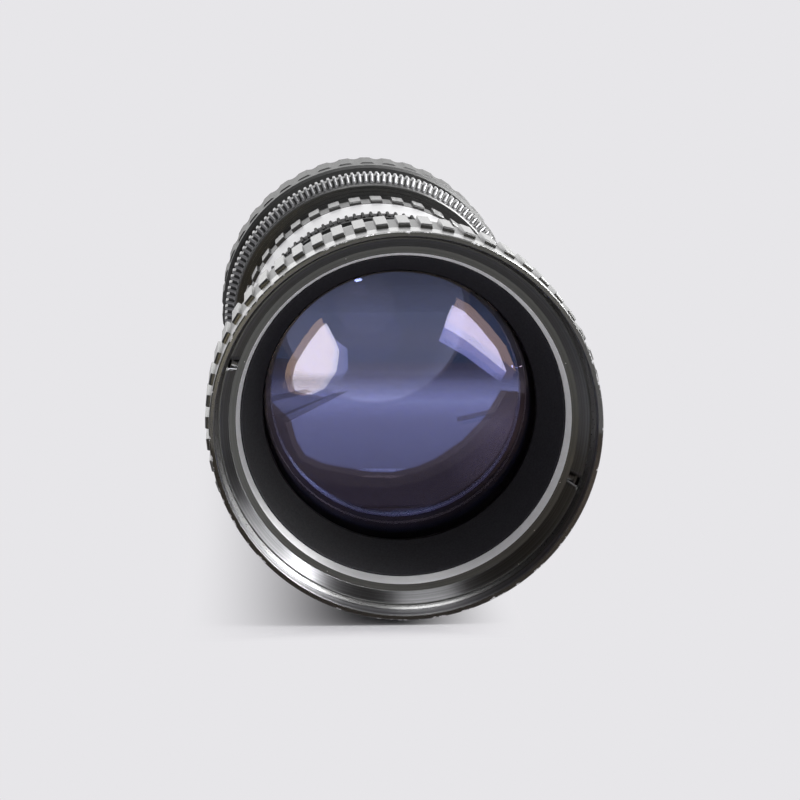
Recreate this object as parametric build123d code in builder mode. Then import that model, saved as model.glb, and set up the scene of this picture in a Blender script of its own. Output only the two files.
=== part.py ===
"""Cinema zoom lens, in millimetres.

The optical axis is the Y axis, the front glass looks along -Y and +Z is up.
The origin is on the optical axis in the seat of the camera flange, so that
every y in front of the camera is negative.
"""
import os
from math import asin, atan2, ceil, cos, degrees, hypot, pi, radians, sin, sqrt

from build123d import *

os.makedirs("parts", exist_ok=True)

# Fits
slide_fit = 0.05
seat_fit = 0.02
ring_gap = 0.3
cover_gap = 0.3
roller_fit = 0.15
screw_fit = 0.1

# Camera end
register_radius = 27.0
register_length = 4.5
register_edge = 0.5
register_wall = 3.4
flange_neck_wall = 6.0
flange_tab_width = 3.0
flange_tab_thickness = 3.0
flange_neck_length = 3.0
flange_tab_count = 4
flange_tab_gap = 17.0
flange_notch_width = 3.2
flange_notch_depth = 2.5
mount_screw_count = 4
mount_screw_offset = 3.3
mount_screw_radius = 1.1
mount_screw_head_radius = 2.1
mount_screw_head = 1.9
mount_screw_length = 9.0

# Rear cone
rear_cone_length = 20.7
rear_cone_edge = 2.2
rear_cone_end_wall = 4.5
rear_cone_wall = 3.0
rear_end_thickness = 4.0
rear_spigot_length = 7.3
housing_shoulder_depth = 2.7

# Main barrel, and the rear housing over it
barrel_radius = 41.0
barrel_wall = 1.8
barrel_collar_height = 2.0
barrel_collar_length = 2.0
barrel_end_flange = 3.0
barrel_end_overlap = 1.5
housing_wall = 5.0
housing_nose_wall = 4.4
housing_nose_length = 19.7
housing_step_height = 4.6
housing_step_thickness = 1.7
housing_step_edge = 0.4
housing_step_grooves = 3
step_groove_depth = 0.35
housing_screw_count = 3
screw_radius = 1.5
screw_sink = 0.2

# Scalloped macro ring
macro_length = 31.0
macro_hub_wall = 3.55
macro_hub_length = 16.0
macro_channel = 2.55
macro_shell = 2.6
macro_web = 3.0
macro_collar_length = 8.0
macro_edge = 1.0
scallop_rise = 0.45
scallop_count = 42
scallop_depth = 0.6
scallop_width = 4.8

# Knurled iris ring
iris_ring_length = 30.5
iris_ring_wall = 7.9
iris_tier_wall = 5.35
iris_skirt_wall = 4.55
iris_collar_length = 1.6
iris_tier_length = 3.2
iris_rise_length = 1.6
iris_grip_length = 7.6
iris_edge = 0.4
knurl_count = 148
knurl_depth = 0.9
tier_knurl_depth = 0.6
knurl_share = 0.5

# Zoom ring and scale band
zoom_wall = 6.15
zoom_tooth_height = 1.2
zoom_tooth_count = 40
zoom_length = 14.5
band_front_wall = 4.2
band_back_wall = 6.1
band_length = 14.5
tooth_share = 0.54
tooth_edge = 0.5

# Focus ring, its sleeve and its gear
focus_bore_step = 1.35
focus_wall = 3.3
focus_tooth_height = 1.3
focus_tooth_count = 56
focus_teeth_length = 22.0
focus_length = 152.1
focus_scale_wall = 1.75
focus_scale_relief = 2.0
focus_taper_length = 16.0
focus_sleeve_wall = 1.4
sleeve_lap_length = 6.0
sleeve_lap_wall = 0.7
gear_module = 0.9
gear_rim = 1.3
gear_length = 13.9
gear_collar_length = 4.0
gear_screw_count = 3

# Front rim and trim ring, each width outward from the clear opening
clear_radius = 41.1
glass_seat_width = 6.9
trim_wall_flare = 1.2
trim_flat_width = 2.1
trim_cone_width = 2.6
ledge_width = 1.6
rim_wall = 1.5
rim_edge = 0.3
rim_web = 1.5
rim_gap = 0.8
filter_thread_depth = 7.7
trim_seat_step = 1.1
ledge_thickness = 1.8
trim_cone_depth = 5.0
trim_flat_dish = 0.3
trim_wall_depth = 10.2
trim_tail_wall = 1.5
trim_boss_depth = 6.8
spanner_notch_width = 2.6
spanner_notch_length = 3.0
spanner_notch_angle = 160.5

# Front cell, its guide and the front glasses
cell_flange_thickness = 1.5
cell_wall = 2.25
cell_tail_length = 40.0
cell_ledge_thickness = 2.0
guide_wall = 1.85
guide_length = 42.0
guide_web = 2.5
baffle_length = 19.6
baffle_lip = 0.6
front_curvature = 225.0
front_hollow_curvature = 210.0
front_glass_thickness = 4.5
second_back_curvature = 400.0
second_glass_thickness = 8.9
glass_air_space = 0.9
second_glass_margin = 2.9

# Focus travel
focus_throw = 110.0
focus_travel = 9.0
focus_roller_radius = 2.5
focus_roller_count = 3
focus_roller_depth = 2.0
focus_roller_setback = 14.0
roller_stem_radius = 1.2
roller_stem_length = 4.0

# Cam drum, rods and the two zoom groups
zoom_throw = 120.0
variator_travel = 55.0
compensator_travel = -30.0
drum_wall = 1.8
rod_radius = 1.5
rod_inset = 5.35
rod_count = 3
rod_blind_depth = 2.0
carrier_thickness = 3.0
carrier_wall = 7.0
cell_clearance = 0.5
roller_radius = 2.2
group_disc = 6.0
hub_inset = 8.0
cell_hub_wall = 3.0
glass_rim = 1.5
variator_setback = 4.0
variator_hub_lead = 8.0
variator_front_curvature = 220.0
variator_inner_curvature = 62.0
variator_hollow_curvature = -70.0
variator_back_curvature = 110.0
variator_glass_thickness = 2.5
variator_glass_space = 2.6
variator_tail = 4.2
compensator_setback = 15.0
compensator_hub_length = 12.0
compensator_hub_lead = 3.0
compensator_front_curvature = 90.0
compensator_back_curvature = -140.0
compensator_glass_thickness = 6.0
glass_setback = 2.5
zoom_key_radius = 2.0
zoom_key_cover = 2.0

# Iris
blade_count = 6
iris_throw = 60.0
blade_swing = 36.0
blade_thickness = 0.2
blade_pitch = 0.38
blade_reach = 3.0
blade_width = 8.0
blade_span = 105.0
pivot_offset = 9.0
pivot_radius = 0.8
drive_inset = 1.2
drive_angle = 11.0
drive_pin_radius = 0.65
drive_fit = 0.25
tab_radius = 1.9
iris_plate_thickness = 2.5
actuator_thickness = 2.6
iris_pin_radius = 1.5
iris_pin_grip = 2.4
iris_pin_cover = 2.2

# Relay group
macro_throw = 60.0
macro_travel = -5.0
relay_throat_gap = 1.9
relay_hub_wall = 2.2
relay_bore_gap = 2.3
relay_tube_length = 30.0
relay_tube_wall = 1.8
relay_web_setback = 8.0
relay_web = 6.0
relay_lead = 4.0
relay_tail = 12.0
relay_roller_radius = 2.0
relay_stem_radius = 1.0
relay_roller_depth = 2.2
relay_roller_setback = 17.0
relay_roller_place = 9.9
relay_front_curvature = 55.0
relay_inner_curvature = -180.0
relay_hollow_curvature = 120.0
relay_back_curvature = -60.0
relay_glass_thickness = 6.0
relay_front_glass_setback = 3.0
relay_rear_glass_setback = 12.0
retaining_ring_length = 2.5
retaining_ring_wall = 2.0
retaining_ring_sink = 0.5

# Stations along the axis, worked forward from the camera flange
flange_front = -(flange_tab_thickness + flange_neck_length)
cone_front = flange_front - rear_cone_length
macro_back = cone_front - ring_gap
macro_front = macro_back - macro_length
iris_back = macro_front - ring_gap
iris_front = iris_back - iris_ring_length
step_back = iris_front - ring_gap
step_front = step_back - housing_step_thickness
nose_front = step_front - housing_nose_length
zoom_back = nose_front - ring_gap
zoom_front = zoom_back - zoom_length
band_back = zoom_front - ring_gap
band_front = band_back - band_length
focus_back = band_front - ring_gap
focus_front = focus_back - focus_length
rim_back = focus_front - rim_gap
ledge_back = rim_back - rim_web
ledge_front = ledge_back - ledge_thickness
rim_front = ledge_front - filter_thread_depth
trim_flat = ledge_front + trim_cone_depth
boss_back = ledge_front + trim_boss_depth
wall_back = ledge_front + trim_wall_depth
cell_flange_back = boss_back + cell_flange_thickness
guide_front = cell_flange_back + ring_gap
guide_back = guide_front + guide_length
collar_front = guide_back + guide_web
collar_back = collar_front + barrel_collar_length
barrel_back = step_front - barrel_end_overlap
housing_back = cone_front + housing_shoulder_depth

# Radii of the front, worked outward from the clear opening
trim_wall_radius = clear_radius + glass_seat_width
trim_flat_inner_radius = trim_wall_radius + trim_wall_flare
trim_flat_outer_radius = trim_flat_inner_radius + trim_flat_width
ledge_inner_radius = trim_flat_outer_radius + trim_cone_width
filter_thread_radius = ledge_inner_radius + ledge_width
front_radius = filter_thread_radius + rim_wall
trim_seat_radius = filter_thread_radius - trim_seat_step
cell_bore = trim_wall_radius + slide_fit
cell_radius = cell_bore + cell_wall
guide_bore = cell_radius + slide_fit
guide_radius = guide_bore + guide_wall
focus_bore = guide_radius + slide_fit
focus_step_radius = focus_bore + focus_bore_step
focus_scale_radius = focus_bore + focus_scale_wall
focus_root_radius = focus_step_radius + focus_wall
focus_crest_radius = focus_root_radius + focus_tooth_height
boss_radius = focus_step_radius - cover_gap

# Radii of the barrel and the rings on it
barrel_bore = barrel_radius - barrel_wall
drum_radius = barrel_bore - slide_fit
drum_bore = drum_radius - drum_wall
group_radius = drum_bore - cell_clearance
rod_circle = drum_bore - rod_inset
sleeve_bore = barrel_radius + slide_fit
sleeve_radius = sleeve_bore + focus_sleeve_wall
sleeve_lap_radius = sleeve_bore + sleeve_lap_wall
gear_bore = sleeve_radius + seat_fit
gear_tooth_count = ceil(2 * (gear_bore + gear_rim + 1.25 * gear_module) / gear_module)
gear_pitch_radius = gear_module * gear_tooth_count / 2
gear_tip_radius = gear_pitch_radius + gear_module
gear_root_radius = gear_pitch_radius - 1.25 * gear_module
zoom_root_radius = sleeve_bore + zoom_wall
zoom_crest_radius = zoom_root_radius + zoom_tooth_height
housing_radius = barrel_radius + housing_wall
housing_nose_radius = barrel_radius + housing_nose_wall
housing_step_radius = housing_radius + housing_step_height
ring_bore = housing_radius + slide_fit
iris_ring_radius = ring_bore + iris_ring_wall
iris_tier_radius = ring_bore + iris_tier_wall
iris_skirt_radius = ring_bore + iris_skirt_wall
macro_hub_radius = ring_bore + macro_hub_wall
macro_shell_bore = macro_hub_radius + macro_channel
macro_collar_radius = macro_shell_bore + macro_shell
macro_radius = macro_collar_radius + scallop_rise

# Radii of the camera end and the relay group
throat_radius = register_radius - register_wall
flange_neck_radius = register_radius + flange_neck_wall
flange_radius = flange_neck_radius + flange_tab_width
mount_screw_circle = register_radius + mount_screw_offset
rear_cone_end_radius = flange_neck_radius + rear_cone_end_wall
relay_hub_radius = throat_radius - relay_throat_gap
relay_glass_radius = relay_hub_radius - relay_hub_wall
relay_tube_radius = barrel_bore - slide_fit
iris_bore = relay_hub_radius + relay_bore_gap
blade_inner_radius = iris_bore - blade_reach
blade_outer_radius = blade_inner_radius + blade_width
pivot_circle = iris_bore + pivot_offset
drive_circle = pivot_circle - drive_inset


def across(y, turn=0.0):
    """A plane square to the optical axis at y, facing the front, its X turned towards Z."""
    return Plane(origin=(0, y, 0), x_dir=(cos(radians(turn)), 0, sin(radians(turn))), z_dir=(0, -1, 0))


def turned(*outline, arc=360.0, start=0.0, mode=Mode.ADD):
    """A ring turned about the optical axis from an outline of (radius, y) points."""
    with BuildSketch(Plane.XY.rotated((0, start, 0))) as profile:
        with BuildLine():
            Polyline(*outline, close=True)
        make_face()
    revolve(profile.sketch, axis=Axis.Y, revolution_arc=arc, mode=mode)


def tube(inner, outer, front, back, mode=Mode.ADD):
    """A plain tube between two radii and two stations."""
    turned((inner, front), (outer, front), (outer, back), (inner, back), mode=mode)


def milled(shape, front, back, mode=Mode.SUBTRACT):
    """Push a sketch drawn at the back station forward to the front station."""
    extrude(shape.sketch, amount=back - front, mode=mode)


def tooth_gaps(count, root, crest, front, back, share):
    """Mill the gaps between square teeth, with a tooth at 0 degrees that has its share of the pitch."""
    pitch = 2 * pi * crest / count
    reach = crest - root + 1.0
    with BuildSketch(across(back)) as gaps:
        with PolarLocations(root + reach / 2, count, start_angle=180 / count):
            Rectangle(reach, pitch * (1 - share))
    milled(gaps, front, back)


def knurl(count, crest, depth, front, back, share):
    """Cut straight V grooves round a ring, leaving each ridge its share of the pitch."""
    half = pi * crest / count * (1 - share)
    with BuildSketch(across(back)) as grooves:
        with PolarLocations(crest, count):
            Polygon((-depth, 0), (0.3, -half), (0.3, half), align=None)
    milled(grooves, front, back)


def radial_hole(radius, inner, outer, y, angles, mode=Mode.SUBTRACT):
    """Round holes or pins square to the axis at y, one at each angle from X towards Z."""
    for angle in angles:
        direction = Vector(cos(radians(angle)), 0, sin(radians(angle)))
        foot = Plane(origin=Vector(0, y, 0) + direction * inner, z_dir=direction)
        with BuildSketch(foot) as spot:
            Circle(radius)
        extrude(spot.sketch, amount=outer - inner, mode=mode)


def straight_slot(radius, inner, outer, y_rest, travel, angles):
    """Slots along the axis through a wall, for a roller that slides by travel."""
    y_low = min(y_rest, y_rest + travel)
    length = abs(travel)
    for angle in angles:
        direction = Vector(cos(radians(angle)), 0, sin(radians(angle)))
        middle = Vector(0, y_low + length / 2, 0) + direction * inner
        foot = Plane(origin=middle, x_dir=(0, 1, 0), z_dir=direction)
        with BuildSketch(foot) as slot:
            SlotCenterToCenter(length, 2 * radius)
        extrude(slot.sketch, amount=outer - inner, mode=Mode.SUBTRACT)


def ring_slot(half_width, inner, outer, y, start, sweep):
    """A slot round the axis through a wall, from start through sweep degrees, with square ends."""
    end_margin = degrees(asin(half_width / inner))
    turned(
        (inner, y - half_width),
        (outer, y - half_width),
        (outer, y + half_width),
        (inner, y + half_width),
        arc=sweep + 2 * end_margin,
        start=-(start + sweep + end_margin),
        mode=Mode.SUBTRACT,
    )


def helical_slot(radius, inner, outer, y_rest, travel, throw, angles):
    """Cam slots for a roller that slides by travel as the ring turns through its throw.

    Each centre line is a helix about the optical axis. A ring that turns clockwise, seen from
    the front, meets the fixed roller at ever larger angles from X towards Z, so that the slot
    climbs with the angle where the travel is towards the camera, and falls where it is forward.
    """
    margin = degrees(asin(radius / inner))
    turn = throw + 2 * margin
    rise = abs(travel) * turn / throw
    low = min(y_rest, y_rest + travel) - abs(travel) * margin / throw
    middle = (inner + outer) / 2
    path = Helix(
        pitch=rise * 360 / turn,
        height=rise,
        radius=middle,
        center=(0, low, 0),
        direction=(0, 1, 0),
        lefthand=travel > 0,
        mode=Mode.PRIVATE,
    )
    start = path @ 0
    end = Plane(origin=start, x_dir=Vector(start.X, 0, start.Z), z_dir=path % 0)
    with BuildSketch(end, mode=Mode.PRIVATE) as cutter:
        Rectangle(outer - inner, 2 * radius)
    tool = sweep(cutter.sketch, path=path, is_frenet=True, mode=Mode.PRIVATE)
    first = degrees(atan2(start.Z, start.X))
    for angle in angles:
        begin = angle - margin if travel > 0 else angle + throw + margin
        add(tool, rotation=(0, first - begin, 0), mode=Mode.SUBTRACT)


def sag(curvature, radius):
    """How far a glass surface falls back from its vertex at a radius; hollow fronts are negative."""
    depth = abs(curvature) - sqrt(curvature**2 - radius**2)
    return depth if curvature > 0 else -depth


def glass(edge, clear, front, front_curvature, back_curvature, thickness):
    """A lens element with its front vertex at front, ground to a cylinder of radius edge.

    A curvature is positive where its centre lies towards the camera. Outside the clear radius
    each side is flat, and seats in its cell there.
    """
    back = front + thickness
    front_edge = front + sag(front_curvature, clear)
    back_edge = back + sag(back_curvature, clear)
    half = clear / sqrt(2)
    with BuildSketch(Plane.XY) as profile:
        with BuildLine():
            ThreePointArc((0, front), (half, front + sag(front_curvature, half)), (clear, front_edge))
            Polyline((clear, front_edge), (edge, front_edge), (edge, back_edge), (clear, back_edge))
            ThreePointArc((clear, back_edge), (half, back + sag(back_curvature, half)), (0, back))
            Line((0, back), (0, front))
        make_face()
    revolve(profile.sketch, axis=Axis.Y)


def spread(count, first=90.0):
    """Equal angles round the axis, starting at the top."""
    return [first + 360.0 * i / count for i in range(count)]


def save(built, name):
    """Name a finished piece and write it."""
    built.part.label = name
    export_step(built.part, f"parts/{name}.step")


# Front rim: outer band with the internal filter thread and a web behind it
with BuildPart() as front_rim:
    turned(
        (filter_thread_radius, rim_front),
        (front_radius - rim_edge, rim_front),
        (front_radius, rim_front + rim_edge),
        (front_radius, rim_back),
        (boss_radius + seat_fit, rim_back),
        (boss_radius + seat_fit, ledge_back),
        (trim_seat_radius, ledge_back),
        (trim_seat_radius, ledge_front),
        (filter_thread_radius, ledge_front),
    )
save(front_rim, "front_rim")

# Trim ring: ledge, turned cone, flat face and bright inner wall, with two spanner notches
with BuildPart() as trim_ring:
    turned(
        (trim_seat_radius - seat_fit, ledge_front),
        (ledge_inner_radius, ledge_front),
        (trim_flat_outer_radius, trim_flat),
        (trim_flat_inner_radius, trim_flat + trim_flat_dish),
        (trim_wall_radius, wall_back),
        (trim_wall_radius + trim_tail_wall, wall_back),
        (trim_wall_radius + trim_tail_wall, boss_back),
        (boss_radius, boss_back),
        (boss_radius, ledge_back),
        (trim_seat_radius - seat_fit, ledge_back),
    )
    notch_radius = (ledge_inner_radius + trim_flat_outer_radius) / 2
    with BuildSketch(across(trim_flat)) as notches:
        with PolarLocations(notch_radius, 2, start_angle=spanner_notch_angle):
            Rectangle(spanner_notch_length, spanner_notch_width)
    milled(notches, ledge_front, trim_flat)
save(trim_ring, "trim_ring")

# Front baffle: matt cone from the trim ring down to the clear radius of the glass
baffle_back = wall_back + baffle_length
with BuildPart() as front_baffle:
    turned(
        (trim_wall_radius - baffle_lip, wall_back),
        (trim_wall_radius, wall_back),
        (trim_wall_radius, baffle_back),
        (clear_radius, baffle_back),
    )
save(front_baffle, "front_baffle")

# Front glasses: two menisci with facing hollows of one curvature, a spacer between their rims
glass_edge_radius = clear_radius + second_glass_margin
first_vertex = baffle_back - sag(front_curvature, clear_radius)
second_vertex = first_vertex + front_glass_thickness + glass_air_space
first_back_edge = first_vertex + front_glass_thickness + sag(front_hollow_curvature, glass_edge_radius)
second_front_edge = second_vertex + sag(front_hollow_curvature, glass_edge_radius)
second_back_edge = second_vertex + second_glass_thickness + sag(second_back_curvature, glass_edge_radius)

with BuildPart() as front_element:
    half = clear_radius / sqrt(2)
    half_back = glass_edge_radius / sqrt(2)
    inner_vertex = first_vertex + front_glass_thickness
    with BuildSketch(Plane.XY) as profile:
        with BuildLine():
            ThreePointArc(
                (0, first_vertex),
                (half, first_vertex + sag(front_curvature, half)),
                (clear_radius, baffle_back),
            )
            Polyline(
                (clear_radius, baffle_back),
                (trim_wall_radius, baffle_back),
                (trim_wall_radius, first_back_edge),
                (glass_edge_radius, first_back_edge),
            )
            ThreePointArc(
                (glass_edge_radius, first_back_edge),
                (half_back, inner_vertex + sag(front_hollow_curvature, half_back)),
                (0, inner_vertex),
            )
            Line((0, inner_vertex), (0, first_vertex))
        make_face()
    revolve(profile.sketch, axis=Axis.Y)
save(front_element, "front_element")

with BuildPart() as second_element:
    glass(
        trim_wall_radius,
        glass_edge_radius,
        second_vertex,
        front_hollow_curvature,
        second_back_curvature,
        second_glass_thickness,
    )
save(second_element, "second_element")

with BuildPart() as glass_spacer:
    tube(glass_edge_radius + slide_fit, trim_wall_radius, first_back_edge, second_front_edge)
save(glass_spacer, "glass_spacer")

# Front cell: flange behind the trim ring, tube that slides in the guide, ledge behind the glass
cell_back = cell_flange_back + cell_tail_length
roller_y = cell_flange_back + focus_roller_setback
focus_roller_angles = spread(focus_roller_count)
with BuildPart() as front_cell:
    turned(
        (trim_wall_radius + trim_tail_wall + seat_fit, boss_back),
        (boss_radius, boss_back),
        (boss_radius, cell_flange_back),
        (cell_radius, cell_flange_back),
        (cell_radius, cell_back),
        (cell_bore, cell_back),
        (cell_bore, second_back_edge + cell_ledge_thickness),
        (glass_edge_radius + slide_fit, second_back_edge + cell_ledge_thickness),
        (glass_edge_radius + slide_fit, second_back_edge),
        (cell_bore, second_back_edge),
        (cell_bore, wall_back + seat_fit),
        (trim_wall_radius + trim_tail_wall + seat_fit, wall_back + seat_fit),
    )
    radial_hole(roller_stem_radius, cell_bore - 1.0, cell_radius + 1.0, roller_y, focus_roller_angles)
save(front_cell, "front_cell")

# Focus rollers: three brass rollers with stems in the cell wall
focus_roller_top = focus_bore + focus_roller_depth
with BuildPart() as focus_rollers:
    radial_hole(
        focus_roller_radius, cell_radius, focus_roller_top, roller_y, focus_roller_angles, mode=Mode.ADD
    )
    radial_hole(
        roller_stem_radius - seat_fit,
        cell_bore + screw_sink,
        cell_radius,
        roller_y,
        focus_roller_angles,
        mode=Mode.ADD,
    )
save(focus_rollers, "focus_rollers")

# Guide barrel: fixed tube round the front cell, with straight slots and a web behind
with BuildPart() as guide_barrel:
    turned(
        (guide_bore, guide_front),
        (guide_radius, guide_front),
        (guide_radius, collar_front),
        (barrel_radius + seat_fit, collar_front),
        (barrel_radius + seat_fit, guide_back),
        (guide_bore, guide_back),
    )
    straight_slot(
        focus_roller_radius + roller_fit,
        guide_bore - 1.0,
        guide_radius + 1.0,
        roller_y,
        -focus_travel,
        focus_roller_angles,
    )
save(guide_barrel, "guide_barrel")

# Focus ring: square teeth, scale cylinder and taper, with helical grooves inside
teeth_back = focus_front + focus_teeth_length
taper_front = collar_front
taper_back = taper_front + focus_taper_length
lap_front = taper_back - sleeve_lap_length
lap_bore = sleeve_lap_radius + seat_fit
with BuildPart() as focus_ring:
    turned(
        (focus_step_radius, focus_front),
        (focus_crest_radius - tooth_edge, focus_front),
        (focus_crest_radius, focus_front + tooth_edge),
        (focus_crest_radius, teeth_back - tooth_edge),
        (focus_crest_radius - tooth_edge, teeth_back),
        (focus_root_radius, teeth_back),
        (focus_scale_radius, teeth_back + focus_scale_relief),
        (focus_scale_radius, taper_front),
        (sleeve_radius, taper_back),
        (lap_bore, taper_back),
        (lap_bore, lap_front),
        (sleeve_bore, lap_front),
        (sleeve_bore, collar_back + ring_gap),
        (focus_bore, collar_back + ring_gap),
        (focus_bore, guide_front),
        (focus_step_radius, guide_front),
    )
    tooth_gaps(
        focus_tooth_count, focus_root_radius, focus_crest_radius, focus_front, teeth_back, tooth_share
    )
    helical_slot(
        focus_roller_radius + roller_fit,
        focus_bore - 0.5,
        focus_roller_top + roller_fit,
        roller_y,
        -focus_travel,
        focus_throw,
        focus_roller_angles,
    )
save(focus_ring, "focus_ring")

# Focus sleeve: thin tube with a spigot in the back of the focus ring, carrying the gear
with BuildPart() as focus_sleeve:
    turned(
        (sleeve_bore, lap_front),
        (sleeve_lap_radius, lap_front),
        (sleeve_lap_radius, taper_back),
        (sleeve_radius, taper_back),
        (sleeve_radius, focus_back),
        (sleeve_bore, focus_back),
    )
save(focus_sleeve, "focus_sleeve")

# Focus gear: follow-focus gear ring with a plain collar, clamped on the sleeve by three screws
gear_teeth_front = focus_back - gear_length
gear_front = gear_teeth_front - gear_collar_length
gear_screw_y = gear_front + gear_collar_length / 2
gear_screw_angles = spread(gear_screw_count)
with BuildPart() as focus_gear:
    tube(gear_bore, gear_pitch_radius + gear_module / 2, gear_front, gear_teeth_front)
    tube(gear_bore, gear_root_radius, gear_teeth_front, focus_back)
    tooth_base = gear_module * pi * 0.62
    tooth_middle = gear_module * pi * 0.36
    tooth_tip = gear_module * pi * 0.18
    tooth_shoulder = gear_tip_radius - 0.28 * gear_module
    tooth_foot = gear_root_radius - 0.22 * gear_module
    with BuildSketch(across(focus_back)) as gear_teeth:
        Circle(gear_root_radius)
        with PolarLocations(0, gear_tooth_count):
            Polygon(
                (tooth_foot, -tooth_base / 2),
                (tooth_shoulder, -tooth_middle / 2),
                (gear_tip_radius, -tooth_tip / 2),
                (gear_tip_radius, tooth_tip / 2),
                (tooth_shoulder, tooth_middle / 2),
                (tooth_foot, tooth_base / 2),
                align=None,
            )
        Circle((gear_bore + tooth_foot) / 2, mode=Mode.SUBTRACT)
    milled(gear_teeth, gear_teeth_front, focus_back, mode=Mode.ADD)
    radial_hole(screw_radius, gear_bore - 0.5, gear_tip_radius + 1.0, gear_screw_y, gear_screw_angles)
save(focus_gear, "focus_gear")

with BuildPart() as gear_screws:
    radial_hole(
        screw_radius - seat_fit,
        gear_bore,
        gear_pitch_radius + gear_module / 4,
        gear_screw_y,
        gear_screw_angles,
        mode=Mode.ADD,
    )
save(gear_screws, "gear_screws")

# Main barrel: fixed tube with a collar, a slot for the zoom key and a flange for the rods
zoom_key_y = (zoom_front + zoom_back) / 2
zoom_key_angle = 0.0
rod_angles = spread(rod_count, first=30.0)
carrier_bore = rod_circle - carrier_wall
flange_rod_front = barrel_back - barrel_end_flange
screw_y = (nose_front + barrel_back) / 2
with BuildPart() as main_barrel:
    turned(
        (barrel_bore, guide_back),
        (barrel_radius, guide_back),
        (barrel_radius, collar_front),
        (barrel_radius + barrel_collar_height, collar_front),
        (barrel_radius + barrel_collar_height, collar_back),
        (barrel_radius, collar_back),
        (barrel_radius, barrel_back),
        (carrier_bore, barrel_back),
        (carrier_bore, flange_rod_front),
        (barrel_bore, flange_rod_front),
    )
    ring_slot(
        zoom_key_radius + roller_fit,
        barrel_bore - 0.5,
        barrel_radius + 0.5,
        zoom_key_y,
        zoom_key_angle - zoom_throw,
        zoom_throw,
    )
    with BuildSketch(across(flange_rod_front + rod_blind_depth)) as rod_holes:
        with PolarLocations(rod_circle, rod_count, start_angle=rod_angles[0]):
            Circle(rod_radius + seat_fit)
    milled(rod_holes, flange_rod_front, flange_rod_front + rod_blind_depth)
    radial_hole(screw_radius, barrel_bore - 0.5, barrel_radius + 0.5, screw_y, spread(housing_screw_count))
save(main_barrel, "main_barrel")

# Rod carrier: ring pressed in the barrel's front, and the three ground steel rods
carrier_back = collar_front + carrier_thickness
with BuildPart() as rod_carrier:
    tube(carrier_bore, barrel_bore - seat_fit, collar_front, carrier_back)
    with BuildSketch(across(carrier_back)) as rod_holes:
        with PolarLocations(rod_circle, rod_count, start_angle=rod_angles[0]):
            Circle(rod_radius + seat_fit)
    milled(rod_holes, collar_front, carrier_back)
save(rod_carrier, "rod_carrier")

with BuildPart() as guide_rods:
    with BuildSketch(across(flange_rod_front + rod_blind_depth)) as rod_ends:
        with PolarLocations(rod_circle, rod_count, start_angle=rod_angles[0]):
            Circle(rod_radius)
    milled(rod_ends, collar_front, flange_rod_front + rod_blind_depth, mode=Mode.ADD)
save(guide_rods, "guide_rods")

# Scale band: fixed flared band between the focus gear and the zoom ring
with BuildPart() as scale_band:
    turned(
        (barrel_radius + seat_fit, band_front),
        (barrel_radius + band_front_wall, band_front),
        (barrel_radius + band_back_wall, band_back),
        (barrel_radius + seat_fit, band_back),
    )
save(scale_band, "scale_band")

# Zoom ring: square teeth, with a hole for the key
key_top = zoom_root_radius - zoom_key_cover
with BuildPart() as zoom_ring:
    turned(
        (sleeve_bore, zoom_front),
        (zoom_crest_radius - tooth_edge, zoom_front),
        (zoom_crest_radius, zoom_front + tooth_edge),
        (zoom_crest_radius, zoom_back - tooth_edge),
        (zoom_crest_radius - tooth_edge, zoom_back),
        (sleeve_bore, zoom_back),
    )
    tooth_gaps(
        zoom_tooth_count, zoom_root_radius, zoom_crest_radius, zoom_front, zoom_back, tooth_share
    )
    radial_hole(
        zoom_key_radius + seat_fit, sleeve_bore - 0.5, key_top, zoom_key_y, [zoom_key_angle]
    )
save(zoom_ring, "zoom_ring")

# Cam drum: turns with the zoom ring, with two slots for each moving group
drum_front = carrier_back + ring_gap
drum_back = flange_rod_front - ring_gap
variator_hub_front = carrier_back + variator_setback
variator_disc_front = variator_hub_front + variator_hub_lead
variator_y = variator_disc_front + group_disc / 2
compensator_disc_front = drum_back - compensator_setback
compensator_y = compensator_disc_front + group_disc / 2
group_angles = [60.0, 240.0]
cam_clear = roller_radius + roller_fit
with BuildPart() as cam_drum:
    tube(drum_bore, drum_radius, drum_front, drum_back)
    for slot_y, slot_travel in ((variator_y, variator_travel), (compensator_y, compensator_travel)):
        helical_slot(
            cam_clear, drum_bore - 0.5, drum_radius + 0.5, slot_y, slot_travel, zoom_throw, group_angles
        )
    radial_hole(
        zoom_key_radius + seat_fit, drum_bore - 0.5, drum_radius + 0.5, zoom_key_y, [zoom_key_angle]
    )
save(cam_drum, "cam_drum")

with BuildPart() as zoom_key:
    radial_hole(zoom_key_radius, drum_bore, key_top, zoom_key_y, [zoom_key_angle], mode=Mode.ADD)
save(zoom_key, "zoom_key")


def moving_cell(glass_radius, hub_front, hub_back, disc_front):
    """A glass hub in a disc that slides on the guide rods."""
    disc_back = disc_front + group_disc
    hub_radius = glass_radius + cell_hub_wall
    tube(glass_radius + slide_fit, hub_radius, hub_front, hub_back)
    tube(hub_radius - 0.5, group_radius, disc_front, disc_back)
    with BuildSketch(across(disc_back)) as bushes:
        with PolarLocations(rod_circle, rod_count, start_angle=rod_angles[0]):
            Circle(rod_radius + slide_fit)
    milled(bushes, disc_front, disc_back)
    stem_end = group_radius - roller_stem_length
    radial_hole(roller_stem_radius, stem_end, group_radius + 0.5, disc_front + group_disc / 2, group_angles)


def moving_rollers(y):
    """Two rollers with stems in the edge of the disc, reaching through the cam slots."""
    radial_hole(roller_radius, group_radius, drum_radius - cover_gap, y, group_angles, mode=Mode.ADD)
    stem_end = group_radius - roller_stem_length
    radial_hole(roller_stem_radius - seat_fit, stem_end, group_radius, y, group_angles, mode=Mode.ADD)


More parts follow.
